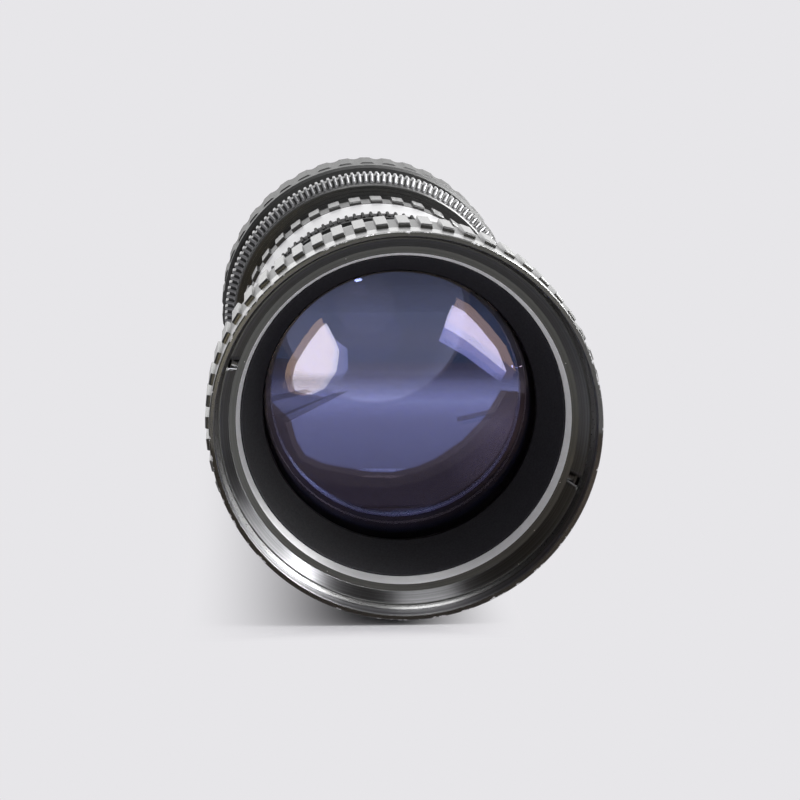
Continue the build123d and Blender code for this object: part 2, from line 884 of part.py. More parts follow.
# Variator: the long-travel zoom group, two hollow glasses in one cell
variator_glass_radius = rod_circle - hub_inset - cell_hub_wall
variator_clear_radius = variator_glass_radius - glass_rim
variator_vertex = variator_hub_front + glass_setback
variator_gap_front = (
    variator_vertex + variator_glass_thickness + sag(variator_inner_curvature, variator_clear_radius)
)
variator_gap_back = variator_gap_front + variator_glass_space
variator_rear_vertex = variator_gap_back - sag(variator_hollow_curvature, variator_clear_radius)
variator_rear_back = variator_rear_vertex + variator_glass_thickness
variator_rear_edge = variator_rear_back + sag(variator_back_curvature, variator_clear_radius)
variator_hub_back = variator_rear_edge + variator_tail
with BuildPart() as variator_cell:
    moving_cell(variator_glass_radius, variator_hub_front, variator_hub_back, variator_disc_front)
save(variator_cell, "variator_cell")

with BuildPart() as variator_front_glass:
    glass(
        variator_glass_radius,
        variator_clear_radius,
        variator_vertex,
        variator_front_curvature,
        variator_inner_curvature,
        variator_glass_thickness,
    )
save(variator_front_glass, "variator_front_glass")

with BuildPart() as variator_rear_glass:
    glass(
        variator_glass_radius,
        variator_clear_radius,
        variator_rear_vertex,
        variator_hollow_curvature,
        variator_back_curvature,
        variator_glass_thickness,
    )
save(variator_rear_glass, "variator_rear_glass")

with BuildPart() as variator_rollers:
    moving_rollers(variator_y)
save(variator_rollers, "variator_rollers")

# Compensator: the short-travel zoom group
compensator_hub_front = compensator_disc_front - compensator_hub_lead
compensator_hub_back = compensator_hub_front + compensator_hub_length
compensator_glass_radius = rod_circle - hub_inset - cell_hub_wall
with BuildPart() as compensator_cell:
    moving_cell(
        compensator_glass_radius, compensator_hub_front, compensator_hub_back, compensator_disc_front
    )
save(compensator_cell, "compensator_cell")

with BuildPart() as compensator_glass:
    glass(
        compensator_glass_radius,
        compensator_glass_radius - glass_rim,
        compensator_hub_front + glass_setback,
        compensator_front_curvature,
        compensator_back_curvature,
        compensator_glass_thickness,
    )
save(compensator_glass, "compensator_glass")

with BuildPart() as compensator_rollers:
    moving_rollers(compensator_y)
save(compensator_rollers, "compensator_rollers")

# Rear housing: nose over the barrel, black step and the seat of the two rear rings
iris_pin_y = iris_front + actuator_thickness / 2
actuator_back = iris_front + actuator_thickness
iris_pin_angle = 0.0
relay_roller_y = macro_front + relay_roller_place
relay_roller_angles = spread(2)
with BuildPart() as rear_housing:
    turned(
        (barrel_radius + seat_fit, nose_front),
        (housing_nose_radius, nose_front),
        (housing_nose_radius, step_front),
        (housing_step_radius - housing_step_edge, step_front),
        (housing_step_radius, step_front + housing_step_edge),
        (housing_step_radius, step_back),
        (housing_radius, step_back),
        (housing_radius, housing_back),
        (barrel_bore, housing_back),
        (barrel_bore, barrel_back),
        (barrel_radius + seat_fit, barrel_back),
    )
    groove_pitch = (housing_step_radius - housing_nose_radius) / (housing_step_grooves + 1)
    for i in range(housing_step_grooves):
        groove_radius = housing_nose_radius + groove_pitch * (i + 1)
        tube(
            groove_radius - step_groove_depth / 2,
            groove_radius + step_groove_depth / 2,
            step_front - 0.1,
            step_front + step_groove_depth,
            mode=Mode.SUBTRACT,
        )
    ring_slot(
        iris_pin_radius + roller_fit,
        barrel_bore - 0.5,
        housing_radius + 0.5,
        iris_pin_y,
        iris_pin_angle - iris_throw,
        iris_throw,
    )
    straight_slot(
        relay_roller_radius + roller_fit,
        barrel_bore - 0.5,
        housing_radius + 0.5,
        relay_roller_y,
        macro_travel,
        relay_roller_angles,
    )
    radial_hole(
        screw_radius, barrel_radius - 0.5, housing_nose_radius + 0.5, screw_y, spread(housing_screw_count)
    )
save(rear_housing, "rear_housing")

with BuildPart() as housing_screws:
    radial_hole(
        screw_radius - seat_fit,
        barrel_bore + screw_sink,
        housing_nose_radius - screw_sink,
        screw_y,
        spread(housing_screw_count),
        mode=Mode.ADD,
    )
save(housing_screws, "housing_screws")

# Iris ring: collar, low knurled tier, high knurled grip and a skirt for the aperture scale
tier_front = iris_front + iris_collar_length
tier_back = tier_front + iris_tier_length
grip_front = tier_back + iris_rise_length
grip_back = grip_front + iris_grip_length
iris_pin_top = iris_tier_radius - iris_pin_cover
with BuildPart() as iris_ring:
    turned(
        (ring_bore, iris_front),
        (iris_tier_radius - tier_knurl_depth - iris_edge, iris_front),
        (iris_tier_radius - iris_edge, tier_front),
        (iris_tier_radius, tier_front + iris_edge),
        (iris_tier_radius, tier_back),
        (iris_ring_radius, grip_front),
        (iris_ring_radius, grip_back - iris_edge),
        (iris_ring_radius - iris_edge, grip_back),
        (iris_skirt_radius, grip_back + 2 * iris_edge),
        (iris_skirt_radius, iris_back),
        (ring_bore, iris_back),
    )
    knurl(knurl_count, iris_tier_radius, tier_knurl_depth, tier_front, tier_back, knurl_share)
    knurl(knurl_count, iris_ring_radius, knurl_depth, tier_back, grip_back, knurl_share)
    radial_hole(
        iris_pin_radius + seat_fit, ring_bore - 0.5, iris_pin_top, iris_pin_y, [iris_pin_angle]
    )
save(iris_ring, "iris_ring")

# Iris: actuator with cam slots, six stacked blades and the plate with their pivots
blade_angles = spread(blade_count, first=0.0)
swing_share = blade_swing / iris_throw


def drive_point(turn):
    """Where a blade's drive pin stands on the actuator, once the ring has turned."""
    swing = radians(turn * swing_share)
    arm_x = drive_circle * cos(radians(drive_angle)) - pivot_circle
    arm_z = drive_circle * sin(radians(drive_angle))
    x = pivot_circle + arm_x * cos(swing) - arm_z * sin(swing)
    z = arm_x * sin(swing) + arm_z * cos(swing)
    angle = atan2(z, x) + radians(turn)
    return (hypot(x, z) * cos(angle), hypot(x, z) * sin(angle))


actuator_radius = barrel_bore - slide_fit
pin_foot = actuator_radius - iris_pin_grip
cam_line = ThreePointArc(drive_point(0), drive_point(iris_throw / 2), drive_point(iris_throw))
with BuildPart() as iris_actuator:
    tube(iris_bore, actuator_radius, iris_front, actuator_back)
    for angle in blade_angles:
        with BuildSketch(across(actuator_back, angle)) as cam:
            SlotArc(cam_line, 2 * (drive_pin_radius + drive_fit))
        milled(cam, iris_front, actuator_back)
    radial_hole(
        iris_pin_radius + seat_fit, pin_foot, actuator_radius + 0.5, iris_pin_y, [iris_pin_angle]
    )
save(iris_actuator, "iris_actuator")

with BuildPart() as iris_pin:
    radial_hole(
        iris_pin_radius, pin_foot + screw_sink, iris_pin_top, iris_pin_y, [iris_pin_angle], mode=Mode.ADD
    )
save(iris_pin, "iris_pin")

plate_front = actuator_back + blade_count * blade_pitch
plate_back = plate_front + iris_plate_thickness
with BuildPart() as iris_plate:
    tube(iris_bore, barrel_bore - seat_fit, plate_front, plate_back)
    with BuildSketch(across(plate_back)) as pivots:
        with PolarLocations(pivot_circle, blade_count):
            Circle(pivot_radius + slide_fit)
    milled(pivots, plate_front, plate_back)
save(iris_plate, "iris_plate")

drive_at = (drive_circle * cos(radians(drive_angle)), drive_circle * sin(radians(drive_angle)))
leaf_middle = (blade_inner_radius + blade_outer_radius) / 2
leaf_width = blade_outer_radius - blade_inner_radius
leaf_root = (leaf_middle * cos(radians(drive_angle)), leaf_middle * sin(radians(drive_angle)))
leaf_line = CenterArc((0, 0), leaf_middle, drive_angle, blade_span)
for i, angle in enumerate(blade_angles):
    leaf_front = actuator_back + blade_pitch * i + (blade_pitch - blade_thickness) / 2
    leaf_back = leaf_front + blade_thickness
    with BuildPart() as blade:
        with BuildSketch(across(leaf_back, angle)) as leaf:
            with Locations((pivot_circle, 0), drive_at):
                Circle(tab_radius)
            with Locations(leaf_root):
                Circle(leaf_width / 2)
            make_hull()
            SlotArc(leaf_line, leaf_width)
        milled(leaf, leaf_front, leaf_back, mode=Mode.ADD)
        with BuildSketch(across(plate_back - cover_gap, angle)) as pivot:
            with Locations((pivot_circle, 0)):
                Circle(pivot_radius)
        milled(pivot, leaf_back, plate_back - cover_gap, mode=Mode.ADD)
        with BuildSketch(across(leaf_front, angle)) as drive:
            with Locations(drive_at):
                Circle(drive_pin_radius)
        milled(drive, iris_front + cover_gap, leaf_front, mode=Mode.ADD)
    save(blade, f"iris_blade_{i + 1}")

# Macro ring: scalloped shell with a hub whose helical grooves drive the relay group
macro_roller_top = ring_bore + relay_roller_depth
with BuildPart() as macro_ring:
    turned(
        (ring_bore, macro_front),
        (macro_collar_radius - macro_edge, macro_front),
        (macro_collar_radius, macro_front + macro_edge),
        (macro_collar_radius, macro_front + macro_collar_length),
        (macro_radius, macro_front + macro_collar_length + scallop_rise),
        (macro_radius, macro_back - macro_edge),
        (macro_radius - macro_edge, macro_back),
        (macro_shell_bore, macro_back),
        (macro_shell_bore, macro_front + macro_web),
        (macro_hub_radius, macro_front + macro_web),
        (macro_hub_radius, macro_front + macro_hub_length),
        (ring_bore, macro_front + macro_hub_length),
    )
    scallop_radius = (scallop_width**2 / 4 + scallop_depth**2) / (2 * scallop_depth)
    with BuildSketch(across(macro_back)) as scallops:
        with PolarLocations(macro_radius - scallop_depth + scallop_radius, scallop_count):
            Circle(scallop_radius)
    milled(scallops, macro_front + macro_collar_length, macro_back)
    helical_slot(
        relay_roller_radius + roller_fit,
        ring_bore - 0.5,
        macro_roller_top + roller_fit,
        relay_roller_y,
        macro_travel,
        macro_throw,
        relay_roller_angles,
    )
save(macro_ring, "macro_ring")

# Rear barrel: spigot in the macro ring, seat on the housing and the cone to the camera flange
spigot_front = cone_front - rear_spigot_length
with BuildPart() as rear_barrel:
    turned(
        (housing_radius + seat_fit, spigot_front),
        (macro_shell_bore - slide_fit, spigot_front),
        (macro_shell_bore - slide_fit, cone_front),
        (macro_radius - macro_edge, cone_front),
        (macro_radius - macro_edge, cone_front + rear_cone_edge),
        (rear_cone_end_radius, flange_front),
        (register_radius, flange_front),
        (register_radius, flange_front - rear_end_thickness),
        (rear_cone_end_radius - rear_cone_wall, flange_front - rear_end_thickness),
        (housing_radius - rear_cone_wall, housing_back + rear_cone_wall),
        (housing_radius - rear_cone_wall, housing_back),
        (housing_radius + seat_fit, housing_back),
    )
    with BuildSketch(across(flange_front)) as tapped:
        with PolarLocations(mount_screw_circle, mount_screw_count, start_angle=45):
            Circle(mount_screw_radius)
    milled(tapped, flange_front - rear_end_thickness, flange_front)
save(rear_barrel, "rear_barrel")

# Mount flange: neck, four tabs round a register and a notch for the camera's pin
head_top = -screw_fit
head_seat = head_top - mount_screw_head
with BuildPart() as mount_flange:
    turned(
        (throat_radius, flange_front),
        (flange_neck_radius, flange_front),
        (flange_neck_radius, flange_front + flange_neck_length),
        (flange_radius, flange_front + flange_neck_length),
        (flange_radius, 0),
        (register_radius, 0),
        (register_radius, register_length - register_edge),
        (register_radius - register_edge, register_length),
        (throat_radius, register_length),
    )
    with BuildSketch(across(0)) as tab_gaps:
        with PolarLocations(flange_radius + flange_neck_radius / 2, flange_tab_count):
            Rectangle(flange_neck_radius, flange_tab_gap)
        with PolarLocations(flange_radius, 1, start_angle=135):
            Rectangle(2 * flange_notch_depth, flange_notch_width)
    milled(tab_gaps, flange_front + flange_neck_length, 0)
    with BuildSketch(across(0)) as screw_holes:
        with PolarLocations(mount_screw_circle, mount_screw_count, start_angle=45):
            Circle(mount_screw_radius + screw_fit)
    milled(screw_holes, flange_front, 0)
    with BuildSketch(across(0)) as screw_heads:
        with PolarLocations(mount_screw_circle, mount_screw_count, start_angle=45):
            Circle(mount_screw_head_radius + screw_fit)
    milled(screw_heads, head_seat, 0)
save(mount_flange, "mount_flange")

with BuildPart() as mount_screws:
    with BuildSketch(across(head_top)) as heads:
        with PolarLocations(mount_screw_circle, mount_screw_count, start_angle=45):
            Circle(mount_screw_head_radius)
    milled(heads, head_seat, head_top, mode=Mode.ADD)
    with BuildSketch(across(head_seat)) as shanks:
        with PolarLocations(mount_screw_circle, mount_screw_count, start_angle=45):
            Circle(mount_screw_radius - seat_fit)
    milled(shanks, -mount_screw_length, head_seat, mode=Mode.ADD)
save(mount_screws, "mount_screws")

# Relay group: tube that slides in the housing, web, hub and tail into the camera throat
relay_front = relay_roller_y - relay_roller_setback
relay_back = relay_front + relay_tube_length
relay_tube_bore = relay_tube_radius - relay_tube_wall
relay_hub_front = relay_front - relay_lead
web_front = relay_front + relay_web_setback
with BuildPart() as relay_cell:
    tube(relay_tube_bore, relay_tube_radius, relay_front, relay_back)
    tube(relay_hub_radius - 0.5, relay_tube_bore + 0.2, web_front, web_front + relay_web)
    tube(relay_glass_radius + slide_fit, relay_hub_radius, relay_hub_front, relay_tail)
    radial_hole(
        relay_stem_radius, relay_tube_bore - 0.5, relay_tube_radius + 0.5, relay_roller_y, relay_roller_angles
    )
save(relay_cell, "relay_cell")

with BuildPart() as relay_roller:
    radial_hole(
        relay_roller_radius,
        relay_tube_radius,
        macro_roller_top,
        relay_roller_y,
        relay_roller_angles,
        mode=Mode.ADD,
    )
    radial_hole(
        relay_stem_radius - seat_fit,
        relay_tube_bore,
        relay_tube_radius,
        relay_roller_y,
        relay_roller_angles,
        mode=Mode.ADD,
    )
save(relay_roller, "relay_roller")

with BuildPart() as relay_front_glass:
    glass(
        relay_glass_radius,
        relay_glass_radius - glass_rim,
        relay_hub_front + relay_front_glass_setback,
        relay_front_curvature,
        relay_inner_curvature,
        relay_glass_thickness,
    )
save(relay_front_glass, "relay_front_glass")

with BuildPart() as relay_rear_glass:
    glass(
        relay_glass_radius,
        relay_glass_radius - glass_rim,
        relay_tail - relay_rear_glass_setback,
        relay_hollow_curvature,
        relay_back_curvature,
        relay_glass_thickness,
    )
save(relay_rear_glass, "relay_rear_glass")

with BuildPart() as relay_retaining_ring:
    ring_back = relay_tail - retaining_ring_sink
    ring_front = ring_back - retaining_ring_length
    tube(relay_glass_radius - retaining_ring_wall, relay_glass_radius, ring_front, ring_back)
save(relay_retaining_ring, "relay_retaining_ring")
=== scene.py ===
import bpy
import numpy as np
from mathutils import Matrix


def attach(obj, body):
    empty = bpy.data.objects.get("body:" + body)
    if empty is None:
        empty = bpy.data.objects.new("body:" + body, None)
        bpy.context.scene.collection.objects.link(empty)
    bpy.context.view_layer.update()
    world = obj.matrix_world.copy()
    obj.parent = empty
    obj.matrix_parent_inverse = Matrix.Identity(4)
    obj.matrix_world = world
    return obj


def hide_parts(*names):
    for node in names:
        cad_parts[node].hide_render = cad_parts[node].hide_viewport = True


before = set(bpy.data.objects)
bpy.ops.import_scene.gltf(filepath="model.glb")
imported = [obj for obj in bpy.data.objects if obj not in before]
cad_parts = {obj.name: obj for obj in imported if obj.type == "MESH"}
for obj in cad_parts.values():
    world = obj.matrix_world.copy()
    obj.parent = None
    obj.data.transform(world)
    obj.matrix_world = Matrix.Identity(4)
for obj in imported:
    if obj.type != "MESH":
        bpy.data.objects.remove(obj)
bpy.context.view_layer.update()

# Camera: a long lens on a stand 0.78 m in front of the rim, above the optical axis and to the left
# of it, which looks at the rim a little from above. Its field is that of the photograph.
picture = 800
focal_pixels = 2700.0
sensor = 36.0
rim_distance = 0.7775
rim_pixels_right, rim_pixels_down = 6.94, 28.32
rim_centre = np.array([0.0, -0.3043, 0.0])
turned_right = np.arcsin(0.0565)
tilted_down = np.arcsin(0.171 / np.cos(turned_right))
ahead = np.array([
    np.sin(turned_right) * np.cos(tilted_down),
    np.cos(turned_right) * np.cos(tilted_down),
    -np.sin(tilted_down),
])
to_right = np.array([np.cos(turned_right), -np.sin(turned_right), 0.0])
to_top = np.cross(to_right, ahead)
stand = rim_centre - rim_distance * (
    ahead + rim_pixels_right / focal_pixels * to_right - rim_pixels_down / focal_pixels * to_top
)


def stood(across, upward, backward, place):
    """How a camera or lamp stands: its three axes and its place are the columns of a matrix."""
    columns = np.eye(4)
    columns[:3] = np.stack([across, upward, backward, place], 1)
    return Matrix(columns.tolist())


camera = bpy.data.objects.new("camera", bpy.data.cameras.new("camera"))
bpy.context.scene.collection.objects.link(camera)
camera.data.sensor_width = sensor
camera.data.lens = focal_pixels * sensor / picture
camera.matrix_world = stood(to_right, to_top, -ahead, stand)
bpy.context.scene.camera = camera
bpy.context.scene.view_settings.view_transform = "Standard"

# Floor: a sweep of pale matt paper with no visible end. Its fibres scatter the light, so it shows a
# soft shadow under the lens, and past that shadow it shows one even tone.
floor_z = -0.0584
floor_reach = 30.0
shadow_edges = [  # along an axis: where the shadow still shows, and where the even tone begins
    ("X", -0.012, -0.066), ("X", -0.004, 0.034), ("Y", -0.3065, -0.322), ("Y", 0.02, 0.12),
]


def linear(hex_colour, gain=1.0):
    """An sRGB colour such as "8a7f70" as linear RGBA: each channel by the sRGB curve, and then
    times a gain."""
    s = np.array([int(hex_colour[i:i + 2], 16) for i in (0, 2, 4)]) / 255
    return (*gain * np.where(s <= 0.04045, s / 12.92, ((s + 0.055) / 1.055) ** 2.4), 1.0)


def add(tree, kind, settings=None, **inputs):
    """A node with its own settings. An input takes a value, or the output of a node before it;
    _0, _1 name an input by its place."""
    made = tree.nodes.new(kind)
    for key, value in (settings or {}).items():
        setattr(made, key, value)
    for key, value in inputs.items():
        socket = made.inputs[int(key[1:]) if key[0] == "_" else key.replace("_", " ")]
        if isinstance(value, bpy.types.NodeSocket):
            tree.links.new(value, socket)
        else:
            socket.default_value = value
    return made


corner = floor_reach * np.array([(-1, -1), (1, -1), (1, 1), (-1, 1)])
floor_mesh = bpy.data.meshes.new("floor")
floor_mesh.from_pydata(np.c_[corner, np.full(4, floor_z)].tolist(), [], [(0, 1, 2, 3)])
floor = bpy.data.objects.new("floor", floor_mesh)
bpy.context.scene.collection.objects.link(floor)
paper = bpy.data.materials.new("pale_paper")
paper.use_nodes = True
tree = paper.node_tree
tree.nodes.clear()
place = add(tree, "ShaderNodeTexCoord").outputs["Object"]
along = add(tree, "ShaderNodeSeparateXYZ", _0=place)
clear = 0.0
for axis, shaded, even in shadow_edges:
    past = add(
        tree, "ShaderNodeMapRange", {"interpolation_type": "SMOOTHSTEP"},
        Value=along.outputs[axis], From_Min=shaded, From_Max=even,
    ).outputs[0]
    clear = add(tree, "ShaderNodeMath", {"operation": "MAXIMUM"}, _0=clear, _1=past).outputs[0]
path = add(tree, "ShaderNodeLightPath")
seen = 0.0
for kind in ("Is Camera Ray", "Is Glossy Ray", "Is Transmission Ray"):
    seen = add(
        tree, "ShaderNodeMath", {"operation": "MAXIMUM"}, _0=seen, _1=path.outputs[kind],
    ).outputs[0]
share = add(tree, "ShaderNodeMath", {"operation": "MULTIPLY"}, _0=seen, _1=clear).outputs[0]
lit = add(tree, "ShaderNodeBsdfDiffuse", Color=linear("f2f1f4")).outputs[0]
tone = add(tree, "ShaderNodeEmission", Color=linear("e7e6e9"), Strength=1.0).outputs[0]
both = add(tree, "ShaderNodeMixShader", _0=share, _1=lit, _2=tone)
add(tree, "ShaderNodeOutputMaterial", Surface=both.outputs[0])
floor_mesh.materials.append(paper)

# Studio light: an even pale surround, and one broad lamp high on the right that throws the soft
# shadow to the lower left. The lamp itself doesn't show in metal or glass.
world = bpy.data.worlds.new("studio")
world.use_nodes = True
world.node_tree.nodes.clear()
surround = add(world.node_tree, "ShaderNodeBackground", Color=linear("f4f3f6"), Strength=0.44)
add(world.node_tree, "ShaderNodeOutputWorld", Surface=surround.outputs[0])
bpy.context.scene.world = world

lamp = bpy.data.objects.new("overhead", bpy.data.lights.new("overhead", "SUN"))
lamp.data.energy = 1.7
lamp.data.angle = np.radians(24)
from_lens = np.array([0.42, -0.04, 1.0])
from_lens /= np.linalg.norm(from_lens)
across = np.cross((0, 1, 0), from_lens)
across /= np.linalg.norm(across)
lamp.matrix_world = stood(across, np.cross(from_lens, across), from_lens, (0, 0, 0))
bpy.context.scene.collection.objects.link(lamp)
lamp.visible_glossy = False

# Flags and room: black sheets and a dim wall stand round the set, as where a lens is photographed.
# Metal and glass show them, and nothing else does. Each is plain card stock on a stand.
arc_middle = -0.29
foot = -0.052


def card(name, corners, colour, strength, rise=None, clear=None):
    """A sheet that only reflections show: one flat polygon, or a grid of points in rows. Rise is
    the share of the glow in each row or at each point. With clear it is a veil, which also lets
    light through: all of it where rise is 0, and the share clear where rise is 1."""
    points = np.asarray(corners, float)
    if points.ndim == 2:
        faces = [list(range(len(points)))]
    else:
        rows, columns = points.shape[:2]
        i, j = np.meshgrid(np.arange(rows - 1), np.arange(columns - 1), indexing="ij")
        first = i * columns + j
        faces = np.stack([first, first + 1, first + columns + 1, first + columns], -1)
        faces = faces.reshape(-1, 4).tolist()
    sheet = bpy.data.meshes.new(name)
    sheet.from_pydata(points.reshape(-1, 3).tolist(), [], faces)
    glow = bpy.data.materials.new(name)
    glow.use_nodes = True
    tree = glow.node_tree
    tree.nodes.clear()
    behind = (clear, clear, clear, 1)
    if rise is not None:
        rise = np.asarray(rise, float)
        spread = np.broadcast_to(rise if rise.ndim == 2 else rise[:, None], points.shape[:2])
        sheet.attributes.new("rise", "FLOAT", "POINT").data.foreach_set("value", spread.ravel())
        level = add(tree, "ShaderNodeAttribute", {"attribute_name": "rise"}).outputs["Fac"]
        strength = add(
            tree, "ShaderNodeMath", {"operation": "MULTIPLY"}, _0=level, _1=strength,
        ).outputs[0]
        if clear is not None:
            behind = add(
                tree, "ShaderNodeMapRange", Value=level, To_Min=1.0, To_Max=clear,
            ).outputs[0]
    light = add(tree, "ShaderNodeEmission", Color=linear(colour), Strength=strength).outputs[0]
    if clear is not None:
        through = add(tree, "ShaderNodeBsdfTransparent", Color=behind).outputs[0]
        light = add(tree, "ShaderNodeAddShader", _0=light, _1=through).outputs[0]
    add(tree, "ShaderNodeOutputMaterial", Surface=light)
    sheet.materials.append(glow)
    made = bpy.data.objects.new(name, sheet)
    bpy.context.scene.collection.objects.link(made)
    made.visible_camera = made.visible_diffuse = made.visible_shadow = False


def upright(radius, reach, low, high, count):
    """A curved sheet that stands round the front of the lens, between two heights: at angle a,
    x = R sin a and y = middle - R cos a, from -reach to +reach degrees."""
    a = np.radians(np.linspace(-reach, reach, count))
    z, a = np.meshgrid([low, high], a, indexing="ij")
    return np.stack([radius * np.sin(a), arc_middle - radius * np.cos(a), z], -1)


card("black_flag", upright(0.75, 85, foot, 2.4, 35), "2c2c2e", 1.0)
card("dark_room", upright(0.74, 50, foot, 0.26, 17), "586a70", 1.0)
# The collar flag is a flat half ring at the rim that keeps the side lamps off the outer rings, and
# the floor flag darkens the upper half of the turned cone.
collar_y = -0.3066
r, a = np.meshgrid([0.077, 0.7], np.radians(np.linspace(-12, 192, 35)), indexing="ij")
collar = np.stack([r * np.cos(a), np.full_like(r, collar_y), r * np.sin(a)], -1)
card("collar_flag", collar, "141416", 1.0)
card("floor_flag", [
    (-0.8, -0.306, -0.055), (0.8, -0.306, -0.055), (0.8, -0.338, -0.055), (-0.8, -0.338, -0.055),
], "101012", 1.0)

# Softboxes round the set: cloth-fronted lamps that light the turned metal through its reflections,
# two on the right, one above the front and one behind. Each is a flat white panel.
card("back_softbox", [
    (-1.5, 1.6, 0.0), (1.5, 1.6, 0.0), (1.5, 1.2, 1.1), (-1.5, 1.2, 1.1),
], "ffffff", 1.7)
card("front_softbox", [
    (-0.30, -0.85, 0.95), (0.12, -0.85, 0.95), (0.12, -0.30, 1.2), (-0.30, -0.30, 1.2),
], "ffffff", 12.0)
card("side_softbox", [
    (0.92, -0.75, 0.37), (0.92, -0.39, 0.37), (0.60, -0.39, 0.74), (0.60, -0.75, 0.74),
], "ffffff", 110.0)
card("rear_side_softbox", [
    (0.9, -0.29, 0.45), (0.9, 0.15, 0.45), (0.55, 0.15, 0.85), (0.55, -0.29, 0.85),
], "ffffff", 15.0)

# Painted reflections in the glass: glowing sheets that light nothing and only show in reflections,
# for an eight-sided softbox on the left and a tall one on the right, each with a fainter spill
# round it, a bare bulb and four small glints. Each stands where the front glass, a polished ball of
# 225 mm, shows it at the given pixels.
front_curvature = 225.0
front_vertex = -270.586


def seen_in_glass(pixels, distance):
    """Where points stand so that the front glass shows them at these pixels: the view ray of each
    meets the ball of the glass, turns back about its normal, and runs on by a distance in m."""
    px = np.asarray(pixels, float) - picture / 2
    ray = ahead + px[..., :1] / focal_pixels * to_right - px[..., 1:] / focal_pixels * to_top
    ray /= np.linalg.norm(ray, axis=-1, keepdims=True)
    radius = front_curvature / 1000
    ball = np.array([0, front_vertex / 1000 + radius, 0])
    from_ball = stand - ball
    half = ray @ from_ball
    reach = -half - np.sqrt(half**2 - from_ball @ from_ball + radius**2)
    hit = stand + reach[..., None] * ray
    normal = (hit - ball) / radius
    away = ray - 2 * np.sum(ray * normal, -1, keepdims=True) * normal
    return hit + distance * away


def oval(x, y, across, down, count):
    """Pixels round an oval: the centre plus (across cos a, down sin a)."""
    a = np.linspace(0, 2 * np.pi, count, endpoint=False)
    return np.stack([x + across * np.cos(a), y + down * np.sin(a)], -1)


left_outer = [(292, 393.5), (282.5, 386.5), (287.5, 363), (301, 341), (314.5, 323.5)]
card("painted_octagon_reflection", seen_in_glass([
    (321, 318), (330, 335), (335, 348), (332, 370), (319, 389), (304, 396), *left_outer,
], 0.36), "ffeab4", 4.5)
card("painted_octagon_spill", seen_in_glass([
    (321, 318), (330, 335), (343.7, 346), (344.5, 367), (332, 389), (311.7, 399.6), *left_outer,
], 0.37), "ffffff", 0.8)
card("painted_tall_box_reflection", seen_in_glass([
    (457, 298), (452.5, 308.7), (448.5, 322), (472.5, 337), (515.5, 371), (516, 370),
    (506, 346), (488, 323.5), (470, 305),
], 0.5), "ffe9c2", 4.0)
card("painted_tall_box_spill", seen_in_glass([
    (457, 298), (452.5, 308.7), (443, 337), (470, 352.5), (509.5, 382), (516, 370),
    (506, 346), (488, 323.5), (470, 305),
], 0.52), "fff6fa", 1.25)
# Painted highlight of the bare bulb, and four painted glints beside the tall softbox.
card("spot", seen_in_glass(oval(355, 270, 4.5, 2.225, 16), 0.5), "ffffff", 12.0)
for number, (x, y) in enumerate([(520.5, 366), (525, 367), (529, 367.5), (532.5, 368)]):
    card(f"spark_{number}", seen_in_glass(oval(x, y, 0.8, 0.8, 8), 0.12), "ffffff", 20.0)

# Horizon in the glass, painted: a glowing strip paints the soft line where the glass would show the
# far edge of the paper sweep, a second paints the glow below it, and dark veils paint the slow fall
# of light above and below. Only reflections show them.
rows = np.linspace(0, 1, 13)
glass_left, glass_right = 258, 545


def over_glass(top, deep, distance):
    """A strip over the whole width of the glass, from a pixel row down: 13 rows of 13 points."""
    x, y = np.meshgrid(np.linspace(glass_left, glass_right, 13), top + deep * rows)
    return seen_in_glass(np.stack([x, y], -1), distance)


# Painted glows and painted shade over the glass: the horizon line, the glow under it, dark veils.
card("painted_horizon_line", over_glass(361, 20, 0.56), "f9faff", 1.0,
     np.interp(20 * rows, [0, 7, 11, 15, 17.5, 20], [0.15, 0.19, 0.25, 0.39, 0.58, 0.82]))
card("painted_horizon_glow", over_glass(376, 50, 0.24), "70757a", 1.0, np.sin(np.pi * rows) ** 1.5, 1.0)
card("painted_horizon_shade", over_glass(372, 30, 0.12), "000000", 0.0,
     np.interp(30 * rows, [0, 4, 9, 20, 30], [0, 0.44, 1, 0.5, 0]), 0.58)
card("painted_floor_shade", over_glass(404, 78, 0.1), "000000", 0.0, rows**0.7, 0.55)
card("painted_top_shade", over_glass(262, 47, 0.09), "000000", 0.0,
     np.interp(rows, [0, 0.3, 0.6, 1], [1, 0.9, 0.5, 0.15]), 0.45)

# Painted second reflections: sheets in front of the glass paint fainter pictures of the lamps, as
# round ghosts and a tail under the bulb, dark veils paint shade on the left and dark streaks, and a
# glowing sheet paints the baffle as the brown zone low in the glass.
# Painted ghosts: round glowing sheets that the glass shows as faint pictures of the lamps.
painted_ghost_x, painted_ghost_y = 372, 305
card("painted_grey_ghost", seen_in_glass(oval(painted_ghost_x, painted_ghost_y, 98, 98, 48), 0.2), "9a9885", 1.0, None, 1.0)
r, a = np.meshgrid([80, 90, 97.5, 98.5], np.radians(np.linspace(-10, 165, 36)), indexing="ij")
painted_ghost_edge = np.stack([painted_ghost_x + r * np.cos(a), painted_ghost_y + r * np.sin(a)], -1)
card("painted_ghost_rim", seen_in_glass(painted_ghost_edge, 0.195), "7a7868", 1.0,
     np.outer([0, 0.45, 1, 0], np.sin(np.linspace(0, np.pi, 36)) ** 0.7), 1.0)
card("painted_brown_ghost", seen_in_glass(oval(364, 301, 31, 31, 48), 0.19), "4a4436", 1.0, None, 1.0)
card("painted_violet_ghost", seen_in_glass(oval(369, 330, 32, 32, 48), 0.18), "2a2838", 1.0, None, 1.0)
